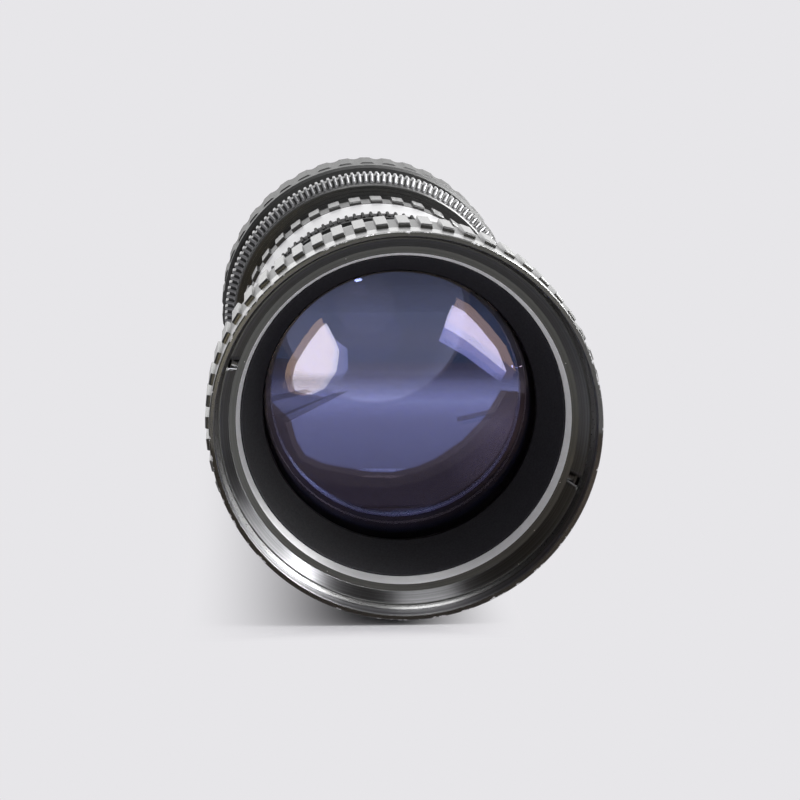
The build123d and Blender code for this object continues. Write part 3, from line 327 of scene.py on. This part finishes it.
# Painted tail of light under the bulb.
r, a = np.meshgrid(np.linspace(0.02, 1, 8), np.linspace(0, 2 * np.pi, 25), indexing="ij")
tail = np.stack([356 + 14 * r * np.cos(a), 284 + 9 * r * np.sin(a)], -1)
card("painted_bulb_tail", seen_in_glass(tail, 0.21), "6a6152", 1.0, (1 - r**2) ** 2, 1.0)
# Painted shade: a dark veil over the left of the glass, and three dark streaks.
card("painted_left_shade", seen_in_glass([
    (256, 356), (281, 358), (289, 393), (322, 399), (296, 411), (266, 424), (256, 400),
], 0.11), "000000", 0.0, None, 0.5)
for name, distance, clear, streak in (
    ("painted_shade_streak_low", 0.17, 0.55, [(283, 424), (276, 416), (330, 394), (345, 392)]),
    ("painted_shade_streak_high", 0.16, 0.55, [(262, 404), (264, 397), (300, 390), (306, 393)]),
    ("painted_shade_streak_right", 0.17, 0.5, [(462, 425), (462, 420), (512, 408), (512, 413)]),
):
    card(name, seen_in_glass(streak, distance), "000000", 0.0, None, clear)
# Painted reflection of the baffle: a glowing brown sheet close before the glass, shown as the brown
# zone low in it, with a painted warm glow that is brighter towards its lower right.
zone_middle = np.array([392, 383])
zone_edge = np.array([
    (262, 400), (286, 424), (292, 445), (300.5, 460), (320, 469), (347, 474), (370, 477.5),
    (393, 478), (417, 473), (439, 463.5), (466, 445), (489, 421), (507, 392),
])
outward = 1 + np.linspace(0, 0.9, 10)[:, None, None]
zone = zone_middle + (zone_edge - zone_middle)[None] * outward
painted_warm_spot, painted_warm_size = (506, 436), 24
painted_warm_glow = np.exp(-np.sum((zone - painted_warm_spot) ** 2, -1) / (2 * painted_warm_size**2))
card("painted_brown_zone", seen_in_glass(zone, 0.045), "665a50", 1.0, 1 + 2.3 * painted_warm_glow)

# Fixed tubes: the main and guide barrels, and the carrier whose rods keep the sliding groups from
# turning. The tubes are turned aluminium, black anodised, and the rods are ground steel.


def finish(name, tones=None, share=None, over=None, relief=None, **shader):
    """A material with one Principled shader. A pattern is a function of the node tree, and may
    stand for any value. Tones are two colours with the pattern share between them, over is a
    pattern with a colour that covers where it is 1, and relief a pattern with its depth in mm."""
    made = bpy.data.materials.new(name)
    made.use_nodes = True
    tree = made.node_tree
    tree.nodes.clear()
    if tones:
        shader["Base_Color"] = add(
            tree, "ShaderNodeMix", {"data_type": "RGBA"},
            Factor=share(tree), _6=linear(tones[0]), _7=linear(tones[1]),
        ).outputs[2]
    if over:
        shader["Base_Color"] = add(
            tree, "ShaderNodeMix", {"data_type": "RGBA"},
            Factor=over[0](tree), _6=shader["Base_Color"], _7=linear(over[1]),
        ).outputs[2]
    if relief:
        shader["Normal"] = add(
            tree, "ShaderNodeBump", Strength=1.0, Distance=relief[1] / 1000, Height=relief[0](tree),
        ).outputs[0]
    values = {key: value(tree) if callable(value) else value for key, value in shader.items()}
    body = add(tree, "ShaderNodeBsdfPrincipled", **values)
    add(tree, "ShaderNodeOutputMaterial", Surface=body.outputs[0])
    return made


def around(tree):
    """The distance from the optical axis and the place along it, both in metres."""
    place = add(tree, "ShaderNodeTexCoord").outputs["Object"]
    flat = add(tree, "ShaderNodeVectorMath", {"operation": "MULTIPLY"}, _0=place, _1=(1, 0, 1))
    away = add(tree, "ShaderNodeVectorMath", {"operation": "LENGTH"}, _0=flat.outputs[0])
    return away.outputs["Value"], add(tree, "ShaderNodeSeparateXYZ", _0=place).outputs["Y"]


def lathe_marks(pitch, low=0.0, high=1.0):
    """The marks of a turning tool, one about every pitch in mm: noise over (distance from the
    axis, y), so it is the same all the way round, between two values."""
    def pattern(tree):
        radius, along = around(tree)
        both = add(tree, "ShaderNodeCombineXYZ", X=radius, Y=along).outputs[0]
        marks = add(
            tree, "ShaderNodeTexNoise", {"noise_dimensions": "2D"},
            Vector=both, Scale=1000 / pitch, Detail=2.0,
        ).outputs[0]
        return add(
            tree, "ShaderNodeMapRange",
            Value=marks, From_Min=0.3, From_Max=0.7, To_Min=low, To_Max=high,
        ).outputs[0]
    return pattern


def grain(size, low=0.0, high=1.0):
    """Fine even noise with grains of a size in mm, between two values."""
    def pattern(tree):
        place = add(tree, "ShaderNodeTexCoord").outputs["Object"]
        spots = add(tree, "ShaderNodeTexNoise", Vector=place, Scale=1000 / size, Detail=3.0)
        return add(
            tree, "ShaderNodeMapRange",
            Value=spots.outputs[0], From_Min=0.3, From_Max=0.7, To_Min=low, To_Max=high,
        ).outputs[0]
    return pattern


def dress(material, *nodes):
    """CAD nodes whose own mesh shows take a finish."""
    for node in nodes:
        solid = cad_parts[node].data
        solid.materials.clear()
        solid.materials.append(material)


# Aluminium, turned, blasted and black anodised: a near black that stays dull at every angle. Tool
# marks are about 0.1 mm apart, and drawn at 0.5 mm so that they show.
black_matt = finish(
    "black_anodised_matt",
    tones=("2a292e", "353439"), share=grain(0.6), relief=(lathe_marks(0.5), 0.02),
    Roughness=grain(0.4, 0.6, 0.75), Specular_IOR_Level=0.1,
)
# Stainless steel, ground: pale grey and bright, with a fine haze. The haze is finer than the
# 0.5 mm at which it is drawn.
steel = finish(
    "ground_steel",
    tones=("9a9a9c", "b4b4b6"), share=grain(0.5),
    Metallic=1.0, Roughness=grain(0.4, 0.25, 0.4),
)
dress(black_matt, "main_barrel", "guide_barrel", "rod_carrier")
dress(steel, "guide_rods")

# Zoom groups: two turned aluminium cells that slide on the rods, each with its ground glasses and
# the brass rollers that follow the drum. The glasses are held by the rims of the cells.

# Brass, turned from bar: warm yellow metal with a satin haze, drawn at 0.5 mm as on the steel.
brass = finish(
    "turned_brass",
    tones=("a5843c", "c29d4b"), share=grain(0.5),
    Metallic=1.0, Roughness=grain(0.4, 0.25, 0.4),
)
# Dense flint glass, polished and coated: clear, with a faint mauve reflection.
coated_glass = finish(
    "coated_glass",
    Base_Color=linear("ffffff"), Transmission_Weight=1.0, Roughness=0.0, IOR=1.8,
    Specular_Tint=linear("bcacbf"),
)
dress(black_matt, "variator_cell", "compensator_cell")
dress(brass, "variator_rollers", "compensator_rollers")
dress(coated_glass, "variator_front_glass", "variator_rear_glass", "compensator_glass")

# Cam drum: a turned aluminium tube with two milled cam slots, which the zoom ring turns through a
# steel key in its wall.
dress(black_matt, "cam_drum")
dress(steel, "zoom_key")

# Relay group: the rear cell with its two glasses under a screwed ring. One brass roller ties it to
# the macro ring.
dress(black_matt, "relay_cell", "relay_retaining_ring")
dress(brass, "relay_roller")
dress(coated_glass, "relay_front_glass", "relay_rear_glass")

# Iris: six blades stamped from spring steel, stacked between the plate that holds their pivots and
# the actuator whose cam slots swing them. A steel pin ties the actuator to its ring.

# Spring steel, stamped and blackened: a dark metal with a low, slightly oily shine.
blade_steel = finish(
    "blackened_spring_steel",
    tones=("1a1a1c", "262629"), share=grain(2.0),
    Metallic=0.7, Roughness=grain(1.0, 0.35, 0.5),
)
dress(black_matt, "iris_plate", "iris_actuator")
dress(steel, "iris_pin")
dress(blade_steel, *(f"iris_blade_{number}" for number in range(1, 7)))

# Rear housing and camera end: turned aluminium housings screwed to the main barrel, and a steel
# flange with its register on four screws.

# Aluminium, turned, blasted and black anodised: black under a satin film that turns bright where
# it is seen edge on. Its relief has the 0.12 mm grain of fine blasting grit.
black_anodised = finish(
    "black_anodised_satin",
    tones=("1c1b1b", "262525"), share=grain(0.6), relief=(grain(0.12), 0.004),
    Roughness=grain(0.4, 0.3, 0.4), IOR=1.6,
    Coat_Weight=0.35, Coat_Roughness=0.22, Coat_IOR=1.8,
)
dress(black_anodised, "rear_housing", "rear_barrel")
dress(steel, "housing_screws", "mount_flange", "mount_screws")

# Macro ring: the widest ring at the back, turned from aluminium, with scallops milled for the
# fingers. Years of handling have taken the shine off its black.

# Aluminium, black anodised and rubbed by hands: a dull, slightly greasy black. Its relief has the
# 0.2 mm grain of coarse blasting grit.
handled_black = finish(
    "handled_black_anodised",
    tones=("181818", "232323"), share=grain(0.8), relief=(grain(0.2), 0.01),
    Roughness=grain(0.5, 0.42, 0.52),
)
dress(handled_black, "macro_ring")

# Scale band: a plain light ring pressed on the main barrel in front of the zoom ring. Aluminium,
# turned to a slight cone.
band_bore, band_front, band_back = 41.02, -140.1, -125.6
band_narrow, band_wide = 45.2, 47.1


def eased(outline, ease):
    """Each corner of a closed outline, in (radius, y), becomes four points of a small round:
    two on the straight sides at the ease, and two between, on the parabola through them."""
    p = np.asarray(outline, float)
    before, after = np.roll(p, 1, 0) - p, np.roll(p, -1, 0) - p
    long_in, long_out = np.hypot(*before.T), np.hypot(*after.T)
    e_in, e_out = np.minimum(ease, 0.4 * long_in), np.minimum(ease, 0.4 * long_out)
    a, c = p + before * (e_in / long_in)[:, None], p + after * (e_out / long_out)[:, None]
    t = np.array([0, 1 / 3, 2 / 3, 1])[None, :, None]
    rounds = (1 - t) ** 2 * a[:, None] + 2 * t * (1 - t) * p[:, None] + t**2 * c[:, None]
    return rounds.reshape(-1, 2)


def mesh_piece(name, points, faces, material):
    """A smooth mesh object whose vertex normals are the face normals weighed by face area."""
    made = bpy.data.meshes.new(name)
    made.from_pydata(points, [], faces)
    made.materials.append(material)
    count = len(made.polygons)
    made.polygons.foreach_set("use_smooth", np.full(count, True))
    area, normal, sides = np.zeros(count), np.zeros(count * 3), np.zeros(count, int)
    made.polygons.foreach_get("area", area)
    made.polygons.foreach_get("normal", normal)
    made.polygons.foreach_get("loop_total", sides)
    vertex = np.zeros(len(made.loops), int)
    made.loops.foreach_get("vertex_index", vertex)
    summed = np.zeros((len(points), 3))
    np.add.at(summed, vertex, np.repeat(normal.reshape(-1, 3) * area[:, None], sides, 0))
    summed /= np.maximum(np.linalg.norm(summed, axis=1), 1e-12)[:, None]
    made.normals_split_custom_set_from_vertices(summed)
    piece = bpy.data.objects.new(name, made)
    bpy.context.scene.collection.objects.link(piece)
    return piece


def turned(name, outline, material, cut=0.0, columns=None, sink=0.0):
    """An outline of (radius, y) in mm, carried round the optical axis. At angle a the point is
    (r cos a, y, r sin a), where r is the outline's radius less cut times (1 - h): columns holds
    each a in radians with its h, which is 1 on a crest and 0 at the bottom of a gap, and y grows
    by sink times (1 - h). An outline that starts and ends at radius 0 closes in two poles."""
    o = np.asarray(outline, float)
    cut, sink = np.broadcast_to(cut, len(o)), np.broadcast_to(sink, len(o))
    if np.sum(o[:, 0] * np.roll(o[:, 1], -1) - np.roll(o[:, 0], -1) * o[:, 1]) < 0:
        o, cut, sink = o[::-1], cut[::-1], sink[::-1]
    angle, crest = columns or (np.arange(256) * 2 * np.pi / 256, np.ones(256))
    poles = o[0, 0] == 0
    inside = slice(1, -1) if poles else slice(None)
    ring, cut, sink = o[inside], cut[inside, None], sink[inside, None]
    r = ring[:, :1] - cut * (1 - crest)
    y = ring[:, 1:] + sink * (1 - crest)
    points = np.stack([r * np.cos(angle), y, r * np.sin(angle)], -1).reshape(-1, 3) / 1000
    n, m = r.shape
    i, j = np.meshgrid(np.arange(n - 1 if poles else n), np.arange(m), indexing="ij")
    i2, j2 = (i + 1) % n, (j + 1) % m
    faces = np.stack([i * m + j, i2 * m + j, i2 * m + j2, i * m + j2], -1).reshape(-1, 4).tolist()
    if poles:
        k = np.arange(m)
        k2 = (k + 1) % m
        points = np.vstack([points, [[0, o[0, 1] / 1000, 0], [0, o[-1, 1] / 1000, 0]]])
        faces += np.stack([np.full(m, n * m), k, k2], -1).tolist()
        faces += np.stack([np.full(m, n * m + 1), (n - 1) * m + k2, (n - 1) * m + k], -1).tolist()
    piece = mesh_piece(name, points, faces, material)
    height = np.zeros(len(points))
    height[:n * m] = np.where(cut > 0, crest, 0.0).ravel()
    piece.data.attributes.new("crest", "FLOAT", "POINT").data.foreach_set("value", height)
    return piece


def ride(piece, body, node):
    """The piece takes the place of its CAD node on one body."""
    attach(piece, body)
    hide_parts(node)


# Aluminium, turned and clear anodised: pale, nearly white, with a soft sheen along its tool
# marks, which are drawn at 0.3 mm where the real ones are about 0.1 mm.
silver = finish(
    "satin_silver",
    tones=("d4d4d5", "e4e4e5"), share=lathe_marks(0.3),
    Metallic=0.2, Roughness=lathe_marks(0.3, 0.35, 0.5),
)
band = turned("band", eased([
    (band_bore, band_front), (band_narrow, band_front), (band_wide, band_back),
    (band_bore, band_back),
], 0.2), silver)
ride(band, "barrel", "scale_band")

# Zoom ring: a turned aluminium ring that runs on the main barrel, with 40 square teeth milled
# along it for the fingers or a follow-focus strap.
zoom_bore, zoom_front, zoom_back = 41.05, -125.3, -110.8
zoom_crest, zoom_floor, zoom_teeth = 48.4, 47.2, 40
tooth_chamfer = 0.5
tooth_share = 0.54


def square_teeth(count, radius):
    """Columns of square teeth with one at angle 0: each tooth rises over a steep flank with a
    small round at its foot and its crest, and takes its share of the pitch."""
    w = np.pi * radius / count * tooth_share
    offset = np.array([-w - 0.18, -w - 0.03, -w, -w + 0.22, w - 0.22, w, w + 0.03, w + 0.18])
    rise = np.array([0, 0.08, 0.86, 1, 1, 0.86, 0.08, 0])
    angle = (np.arange(count)[:, None] * 2 * np.pi / count + offset / radius).ravel()
    return angle, np.tile(rise, count)


def paint(piece, *zones):
    """More materials for a turned piece: each zone gives a material with the lowest and highest
    radius and y, in mm, of the face centres that take it."""
    sides = len(piece.data.polygons)
    centre = np.zeros(sides * 3)
    piece.data.polygons.foreach_get("center", centre)
    x, y, z = centre.reshape(-1, 3).T * 1000
    radius = np.hypot(x, z)
    index = np.zeros(sides, int)
    for number, (material, r0, r1, y0, y1) in enumerate(zones, 1):
        piece.data.materials.append(material)
        index[(radius > r0) & (radius < r1) & (y > y0) & (y < y1)] = number
    piece.data.polygons.foreach_set("material_index", index)


# The same black anodised aluminium in the gaps between the teeth, with painted shade: a darker
# tone, and without the bright film.
shaded_groove_black = finish(
    "black_anodised_groove_painted_shade",
    tones=("161616", "222121"), share=grain(0.6),
    Roughness=grain(0.4, 0.32, 0.42), Specular_IOR_Level=0.45,
)
zoom_outline = eased([
    (zoom_bore, zoom_front), (zoom_crest - tooth_chamfer, zoom_front),
    (zoom_crest, zoom_front + tooth_chamfer), (zoom_crest, zoom_back - tooth_chamfer),
    (zoom_crest - tooth_chamfer, zoom_back), (zoom_bore, zoom_back),
], 0.15)
zoom = turned(
    "zoom", zoom_outline, black_anodised,
    np.maximum(zoom_outline[:, 0] - zoom_floor, 0), square_teeth(zoom_teeth, zoom_crest),
)
# Painted shade: the gap floors between the teeth take the darker tone.
paint(zoom, (
    shaded_groove_black, zoom_floor - 0.4, zoom_floor + 0.4, zoom_front - 0.1, zoom_back + 0.1,
))
ride(zoom, "zoom_rotor", "zoom_ring")

# Iris ring: a turned aluminium ring with a low and a high tier of straight knurling, and a plain
# skirt behind. Hands have worn its 148 ridges to bright metal.
ridges = 148
ridge_offset = np.array([-0.021, -0.0125, -0.0085, 0.0, 0.0085, 0.0125])
ridge_height = np.array([0, 0.1, 0.9, 1, 0.9, 0.1])
iris_profile = np.array([  # radius, y and depth of the gaps
    (46.05, -88.8, 0), (50.4, -88.8, 0), (51.0, -87.2, 0.3), (51.4, -86.8, 0.6), (51.4, -84.1, 0.6),
    (51.45, -83.95, 0.65), (53.9, -82.5, 0.9), (53.95, -82.3, 0.9), (53.95, -75.2, 0.9),
    (53.55, -74.8, 0.6), (50.65, -74.0, 0), (50.6, -73.8, 0), (50.6, -58.5, 0), (50.4, -58.3, 0),
    (46.05, -58.3, 0),
])


def worn(low, high):
    """0 in the gaps of a ring and 1 where hands have worn its ridges bare."""
    def pattern(tree):
        level = add(tree, "ShaderNodeAttribute", {"attribute_name": "crest"}).outputs["Fac"]
        return add(
            tree, "ShaderNodeMapRange",
            Value=level, From_Min=low, From_Max=high, To_Min=0.0, To_Max=1.0,
        ).outputs[0]
    return pattern


# Aluminium, knurled and black anodised: black in its gaps, and grey bare metal on the ridges.
worn_knurl = finish(
    "worn_black_knurl",
    tones=("101010", "868688"), share=worn(0.35, 0.95),
    Metallic=worn(0.35, 1.4), Roughness=grain(0.4, 0.3, 0.4),
)
ridge_angle = np.arange(ridges)[:, None] * 2 * np.pi / ridges + ridge_offset
iris = turned(
    "iris", iris_profile[:, :2], worn_knurl, iris_profile[:, 2],
    (ridge_angle.ravel(), np.tile(ridge_height, ridges)),
)
paint(
    iris,
    (black_anodised, 46.0, 50.62, -90, -58),
    (black_anodised, 50.5, 53.6, -74.9, -73.0),
)
ride(iris, "iris_rotor", "iris_ring")

# Front cell: the turned tube that carries the front glasses, a spacer between them, and three
# brass rollers that run in the straight slots and in the focus ring's helical grooves.
dress(black_matt, "front_cell", "glass_spacer")
dress(brass, "focus_rollers")

# Front and second glass: large lenses, ground, polished and coated, with a flat ground edge painted
# black. They lie in the front cell under the baffle.
glass_radius = 48.0
front_clear, back_clear = 41.1, 44.0
contact_curvature, last_curvature = 210.0, 400.0
glass_seat = -266.8


def cap(curvature, edge, vertex, count=24):
    """Points of a ground surface from the axis out: y = vertex + R - sqrt(R^2 - r^2)."""
    r = np.append(np.linspace(0, edge - 0.05, count), edge)
    return np.stack([r, vertex + curvature - np.sqrt(curvature**2 - r**2)], -1)


def coat(piece, *materials):
    """Give a glass its materials: first for the faces that look to the front inside the clear
    radius, second for those that look to the back, and third for the ground edge."""
    sides = len(piece.data.polygons)
    centre, normal = np.zeros(sides * 3), np.zeros(sides * 3)
    piece.data.polygons.foreach_get("center", centre)
    piece.data.polygons.foreach_get("normal", normal)
    centre, normal = centre.reshape(-1, 3), normal.reshape(-1, 3)
    edge = np.hypot(centre[:, 0], centre[:, 2]) * 1000 > back_clear
    piece.data.materials.clear()
    for material in materials:
        piece.data.materials.append(material)
    piece.data.polygons.foreach_set("material_index", np.where(edge, 2, normal[:, 1] > 0))


# The same glass with a thicker coating, which sends back blue-violet light.
violet_glass = finish(
    "violet_coated_glass",
    Base_Color=linear("ffffff"), Transmission_Weight=1.0, Roughness=0.0, IOR=1.8,
    Specular_Tint=linear("96a3ff", 2.5),
)
# Painted shade: the back of the second glass is the same polished surface, but opaque and near
# black where clear glass would be, for the dark inside of the lens behind it. It shows reflections,
# and no depth.
painted_shade_back_glass = finish(
    "painted_shade_back_glass",
    Base_Color=linear("0d0a12"), Roughness=0.0, IOR=1.8, Specular_Tint=linear("a295bc"),
)
# Optical edge black, brushed on ground glass: a dead black.
black_edge = finish(
    "blackened_glass_edge",
    tones=("040405", "070708"), share=grain(1.0), Roughness=0.8, Specular_IOR_Level=0.1,
)
front_glass = turned("front_glass", np.vstack([
    cap(front_curvature, front_clear, front_vertex),
    [(glass_radius, glass_seat), (glass_radius, -261.424)],
    cap(contact_curvature, back_clear, -266.086)[::-1],
]), coated_glass)
coat(front_glass, coated_glass, violet_glass, black_edge)
ride(front_glass, "front_group", "front_element")
second_glass = turned("second_glass", np.vstack([
    cap(contact_curvature, back_clear, -265.186),
    [(glass_radius, -260.524), (glass_radius, -253.863)],
    cap(last_curvature, back_clear, -256.290)[::-1],
]), coated_glass)
# Its back faces take the painted shade of the lens's dark inside.
coat(second_glass, violet_glass, painted_shade_back_glass, black_edge)
ride(second_glass, "front_group", "second_element")

# Front baffle: a matt black aluminium cone over the glass, with fine steps turned in it that trap
# stray light. It drops into the rim against the glass.
baffle_mouth, baffle_step, baffle_steps = 47.4, 0.35, 28
wall_back = -286.4
step = np.arange(baffle_steps)
grooves = np.stack([
    baffle_mouth - (baffle_mouth - front_clear) * step / baffle_steps + baffle_step * (step % 2),
    wall_back + (glass_seat - wall_back) * step / baffle_steps,
], -1)
baffle = turned("baffle", np.vstack([
    grooves, [(front_clear, glass_seat), (glass_radius, glass_seat), (glass_radius, wall_back)],
]), black_matt)
ride(baffle, "front_group", "front_baffle")

# Trim ring: a turned aluminium ring that holds the baffle and the glass, screwed in with a spanner
# in its two notches. Its cone is left dark and its inner wall bright.
trim_radius, trim_bore = 54.38, 48.0
cone_front, cone_back = -296.6, -291.6
wall_front = -291.3
rim_ledge = -294.8
notch_angles = [160.5, 340.5]
notch_middle = 52.6
notch_floor = -291.7
notch_half = np.array([-1.33, -1.27, 0, 1.27, 1.33])
notch_height = np.array([1.0, 0, 0, 0, 1.0])


def specks(spacing, size):
    """1 in small round specks of dust, a size in mm, about a spacing in mm apart."""
    def pattern(tree):
        place = add(tree, "ShaderNodeTexCoord").outputs["Object"]
        far = add(tree, "ShaderNodeTexVoronoi", Vector=place, Scale=1000 / spacing)
        return add(
            tree, "ShaderNodeMapRange", Value=far.outputs["Distance"],
            From_Min=size / spacing, From_Max=0.7 * size / spacing, To_Min=0.0, To_Max=1.0,
        ).outputs[0]
    return pattern


def round_axis(tree):
    """The direction round the optical axis, along which a lathe tool leaves its marks."""
    return add(tree, "ShaderNodeTangent", {"direction_type": "RADIAL", "axis": "Y"}).outputs[0]


# Aluminium, turned and grey anodised, with a little dust: mid grey and half dull.
dark_grey = finish(
    "turned_grey",
    tones=("4a4b4b", "585959"), share=lathe_marks(0.25), over=(specks(2.6, 0.16), "cfcfcf"),
    Metallic=0.6, Roughness=lathe_marks(0.3, 0.35, 0.5),
)
# The same ring where the film is rubbed off: its tool marks, 0.05 mm apart and drawn at 0.25 mm,
# draw each lamp out into a fan across the cone.
brushed_grey = finish(
    "brushed_grey_metal",
    tones=("4e4e50", "707072"), share=lathe_marks(0.25),
    Metallic=1.0, Roughness=lathe_marks(0.3, 0.33, 0.42),
    Anisotropic=1.0, Anisotropic_Rotation=0.25, Tangent=round_axis,
)
# Aluminium, turned last and clear anodised: a pale wall that takes an even light.
bare_wall = finish(
    "bare_bright_metal",
    tones=("f4f4f6", "ffffff"), share=lathe_marks(0.2),
    Metallic=0.025, Roughness=lathe_marks(0.3, 0.35, 0.5),
    Anisotropic=0.9, Anisotropic_Rotation=0.25, Tangent=round_axis,
)
trim_face = [
    (trim_radius, cone_front), (53.9, cone_front), (51.3, cone_back), (49.2, wall_front),
]
trim_wall = [(trim_bore, wall_back), (49.5, wall_back), (49.5, -289.8)]
trim_shoulder = [(53.3, -289.8), (53.3, rim_ledge), (trim_radius, rim_ledge)]
trim_outline = eased([*trim_face, *trim_wall, *trim_shoulder], 0.12)
outline_r, outline_y = trim_outline.T
on_cone = (outline_r < 54.15) & (outline_y < -291.75) & ((outline_r < 53.0) | (outline_y < -295.2))
even = np.arange(256) * 2 * np.pi / 256
notch = (np.radians(notch_angles)[:, None] + notch_half / notch_middle).ravel()
free = even[np.all(np.abs(even[:, None] - notch) > 0.012, 1)]
trim_angle = np.concatenate([free, notch])
trim_height = np.concatenate([np.ones(len(free)), np.tile(notch_height, len(notch_angles))])
order = np.argsort(trim_angle)
trim = turned(
    "trim", trim_outline, dark_grey, 0.0, (trim_angle[order], trim_height[order]),
    np.where(on_cone, notch_floor - outline_y, 0),
)
paint(
    trim,
    (brushed_grey, 51.35, 53.95, cone_front + 0.1, notch_floor),
    (bare_wall, 47.0, 49.25, -291.4, wall_back + 0.1),
)
ride(trim, "front_group", "trim_ring")

# Front rim: the outermost ring, turned from aluminium and painted, with the filter thread inside
# its mouth. It screws on the front cell, and knocks have chipped its edge.
rim_radius, rim_front, rim_back = 57.0, -304.3, -293.3
rim_chamfer, ledge_radius = 0.3, 54.4
thread_radius, thread_depth, thread_half = 55.5, 0.25, 0.4


def chips(tree):
    """1 where paint is chipped off the rim: noise above a limit, which is lower along the front
    edge than on the band."""
    radius, along = around(tree)
    place = add(tree, "ShaderNodeTexCoord").outputs["Object"]
    spots = add(
        tree, "ShaderNodeTexNoise", Vector=place, Scale=1000 / 3.0, Detail=5.0, Roughness=0.7,
    ).outputs[0]
    edge = add(
        tree, "ShaderNodeMapRange",
        Value=along, From_Min=-0.3030, From_Max=-0.3042, To_Min=0.0, To_Max=1.0,
    ).outputs[0]
    outer = add(
        tree, "ShaderNodeMapRange",
        Value=radius, From_Min=0.0562, From_Max=0.0568, To_Min=0.0, To_Max=1.0,
    ).outputs[0]
    knocked = add(tree, "ShaderNodeMath", {"operation": "MULTIPLY"}, _0=edge, _1=outer).outputs[0]
    limit = add(
        tree, "ShaderNodeMapRange",
        Value=knocked, From_Min=0.0, From_Max=1.0, To_Min=0.70, To_Max=0.55,
    ).outputs[0]
    above = add(tree, "ShaderNodeMath", {"operation": "SUBTRACT"}, _0=spots, _1=limit).outputs[0]
    return add(
        tree, "ShaderNodeMapRange",
        Value=above, From_Min=0.0, From_Max=0.015, To_Min=0.0, To_Max=1.0,
    ).outputs[0]


# Black enamel, sprayed and stoved on turned aluminium: glossy black over faint tool marks, with
# bright metal in chips of up to 3 mm. The marks are drawn at 0.35 mm so that they show.
chipped_black = finish(
    "chipped_black_rim",
    tones=("131212", "1f1e1e"), share=lathe_marks(0.3), over=(chips, "d6d6d8"),
    relief=(lathe_marks(0.35), 0.012),
    Roughness=grain(0.4, 0.26, 0.36), IOR=1.7,
    Coat_Weight=0.45, Coat_Roughness=0.2, Coat_IOR=1.8,
)
# Aluminium thread, worn bare by filters: mid grey metal with bright lines round it. Its lines
# are rings 0.8 mm apart, about the real pitch.
worn_thread = finish(
    "worn_thread_metal",
    tones=("4c4c4e", "747476"), share=lathe_marks(0.3),
    Metallic=1.0, Roughness=lathe_marks(0.3, 0.35, 0.45),
    Anisotropic=0.9, Anisotropic_Rotation=0.25, Tangent=round_axis,
)
line = np.arange(16)
threads = np.stack([
    thread_radius + thread_depth * (line % 2), rim_front + 0.5 + thread_half * line,
], -1)
rim_seat = [(ledge_radius, rim_ledge), (53.32, rim_ledge), (53.32, rim_back)]
rim_band = [
    (rim_radius, rim_back), (rim_radius, rim_front + rim_chamfer),
    (rim_radius - rim_chamfer, rim_front), (thread_radius + 0.1, rim_front),
]
rim = turned("rim", np.vstack([
    eased([*rim_seat, *rim_band], 0.12), threads,
    [(thread_radius, cone_front), (ledge_radius, cone_front)],
]), chipped_black)
paint(rim, (worn_thread, thread_radius - 0.5, thread_radius + 0.45, -304.0, cone_front - 0.1))
ride(rim, "front_group", "front_rim")

# Focus ring: a large turned aluminium ring with 56 square teeth, and a cone behind them down to its
# sleeve. It turns on the guide barrel.
focus_crest, focus_floor, focus_teeth = 58.2, 56.9, 56
focus_front, focus_back = -292.5, -270.5
focus_bore, hollow_bore, lip_bore = 41.05, 52.25, 53.6
focus_teeth_outline = [
    (lip_bore, focus_front), (focus_crest - tooth_chamfer, focus_front),
    (focus_crest, focus_front + tooth_chamfer), (focus_crest, focus_back - tooth_chamfer),
    (focus_crest - tooth_chamfer, focus_back), (focus_floor, focus_back),
]
focus_cone_outline = [(54.0, -268.5), (54.0, -243.5), (42.45, -227.5)]
focus_bore_outline = [
    (41.77, -227.5), (41.77, -233.5), (focus_bore, -233.5), (focus_bore, -241.2),
]
focus_hollow_outline = [
    (hollow_bore, -241.2), (hollow_bore, -271.4), (54.4, -271.4), (54.4, -286.2),
    (hollow_bore, -286.2), (hollow_bore, -288.0), (lip_bore, -288.0),
]
focus_outline = eased([
    *focus_teeth_outline, *focus_cone_outline, *focus_bore_outline, *focus_hollow_outline,
], 0.15)
focus = turned(
    "focus", focus_outline, black_anodised,
    np.maximum(focus_outline[:, 0] - focus_floor, 0), square_teeth(focus_teeth, focus_crest),
)
# Painted shade: the gap floors between the teeth take the darker tone.
paint(focus, (
    shaded_groove_black, focus_floor - 0.4, focus_floor + 0.4, focus_front - 0.1, focus_back + 0.1,
))
ride(focus, "focus_rotor", "focus_ring")

# Focus sleeve and gear: the tube that carries the scale, and the drive gear clamped on its end by
# small steel screws. Both are black anodised aluminium, and the gear is hobbed.

# Aluminium, hobbed and black anodised: its cut faces give a dry, dull black.
gear_black = finish(
    "dull_black_gear",
    tones=("0e0e0f", "1d1d1e"), share=grain(0.5),
    Roughness=grain(0.4, 0.55, 0.7), Specular_IOR_Level=0.12,
)
dress(black_anodised, "focus_sleeve")
dress(gear_black, "focus_gear")
dress(steel, "gear_screws")
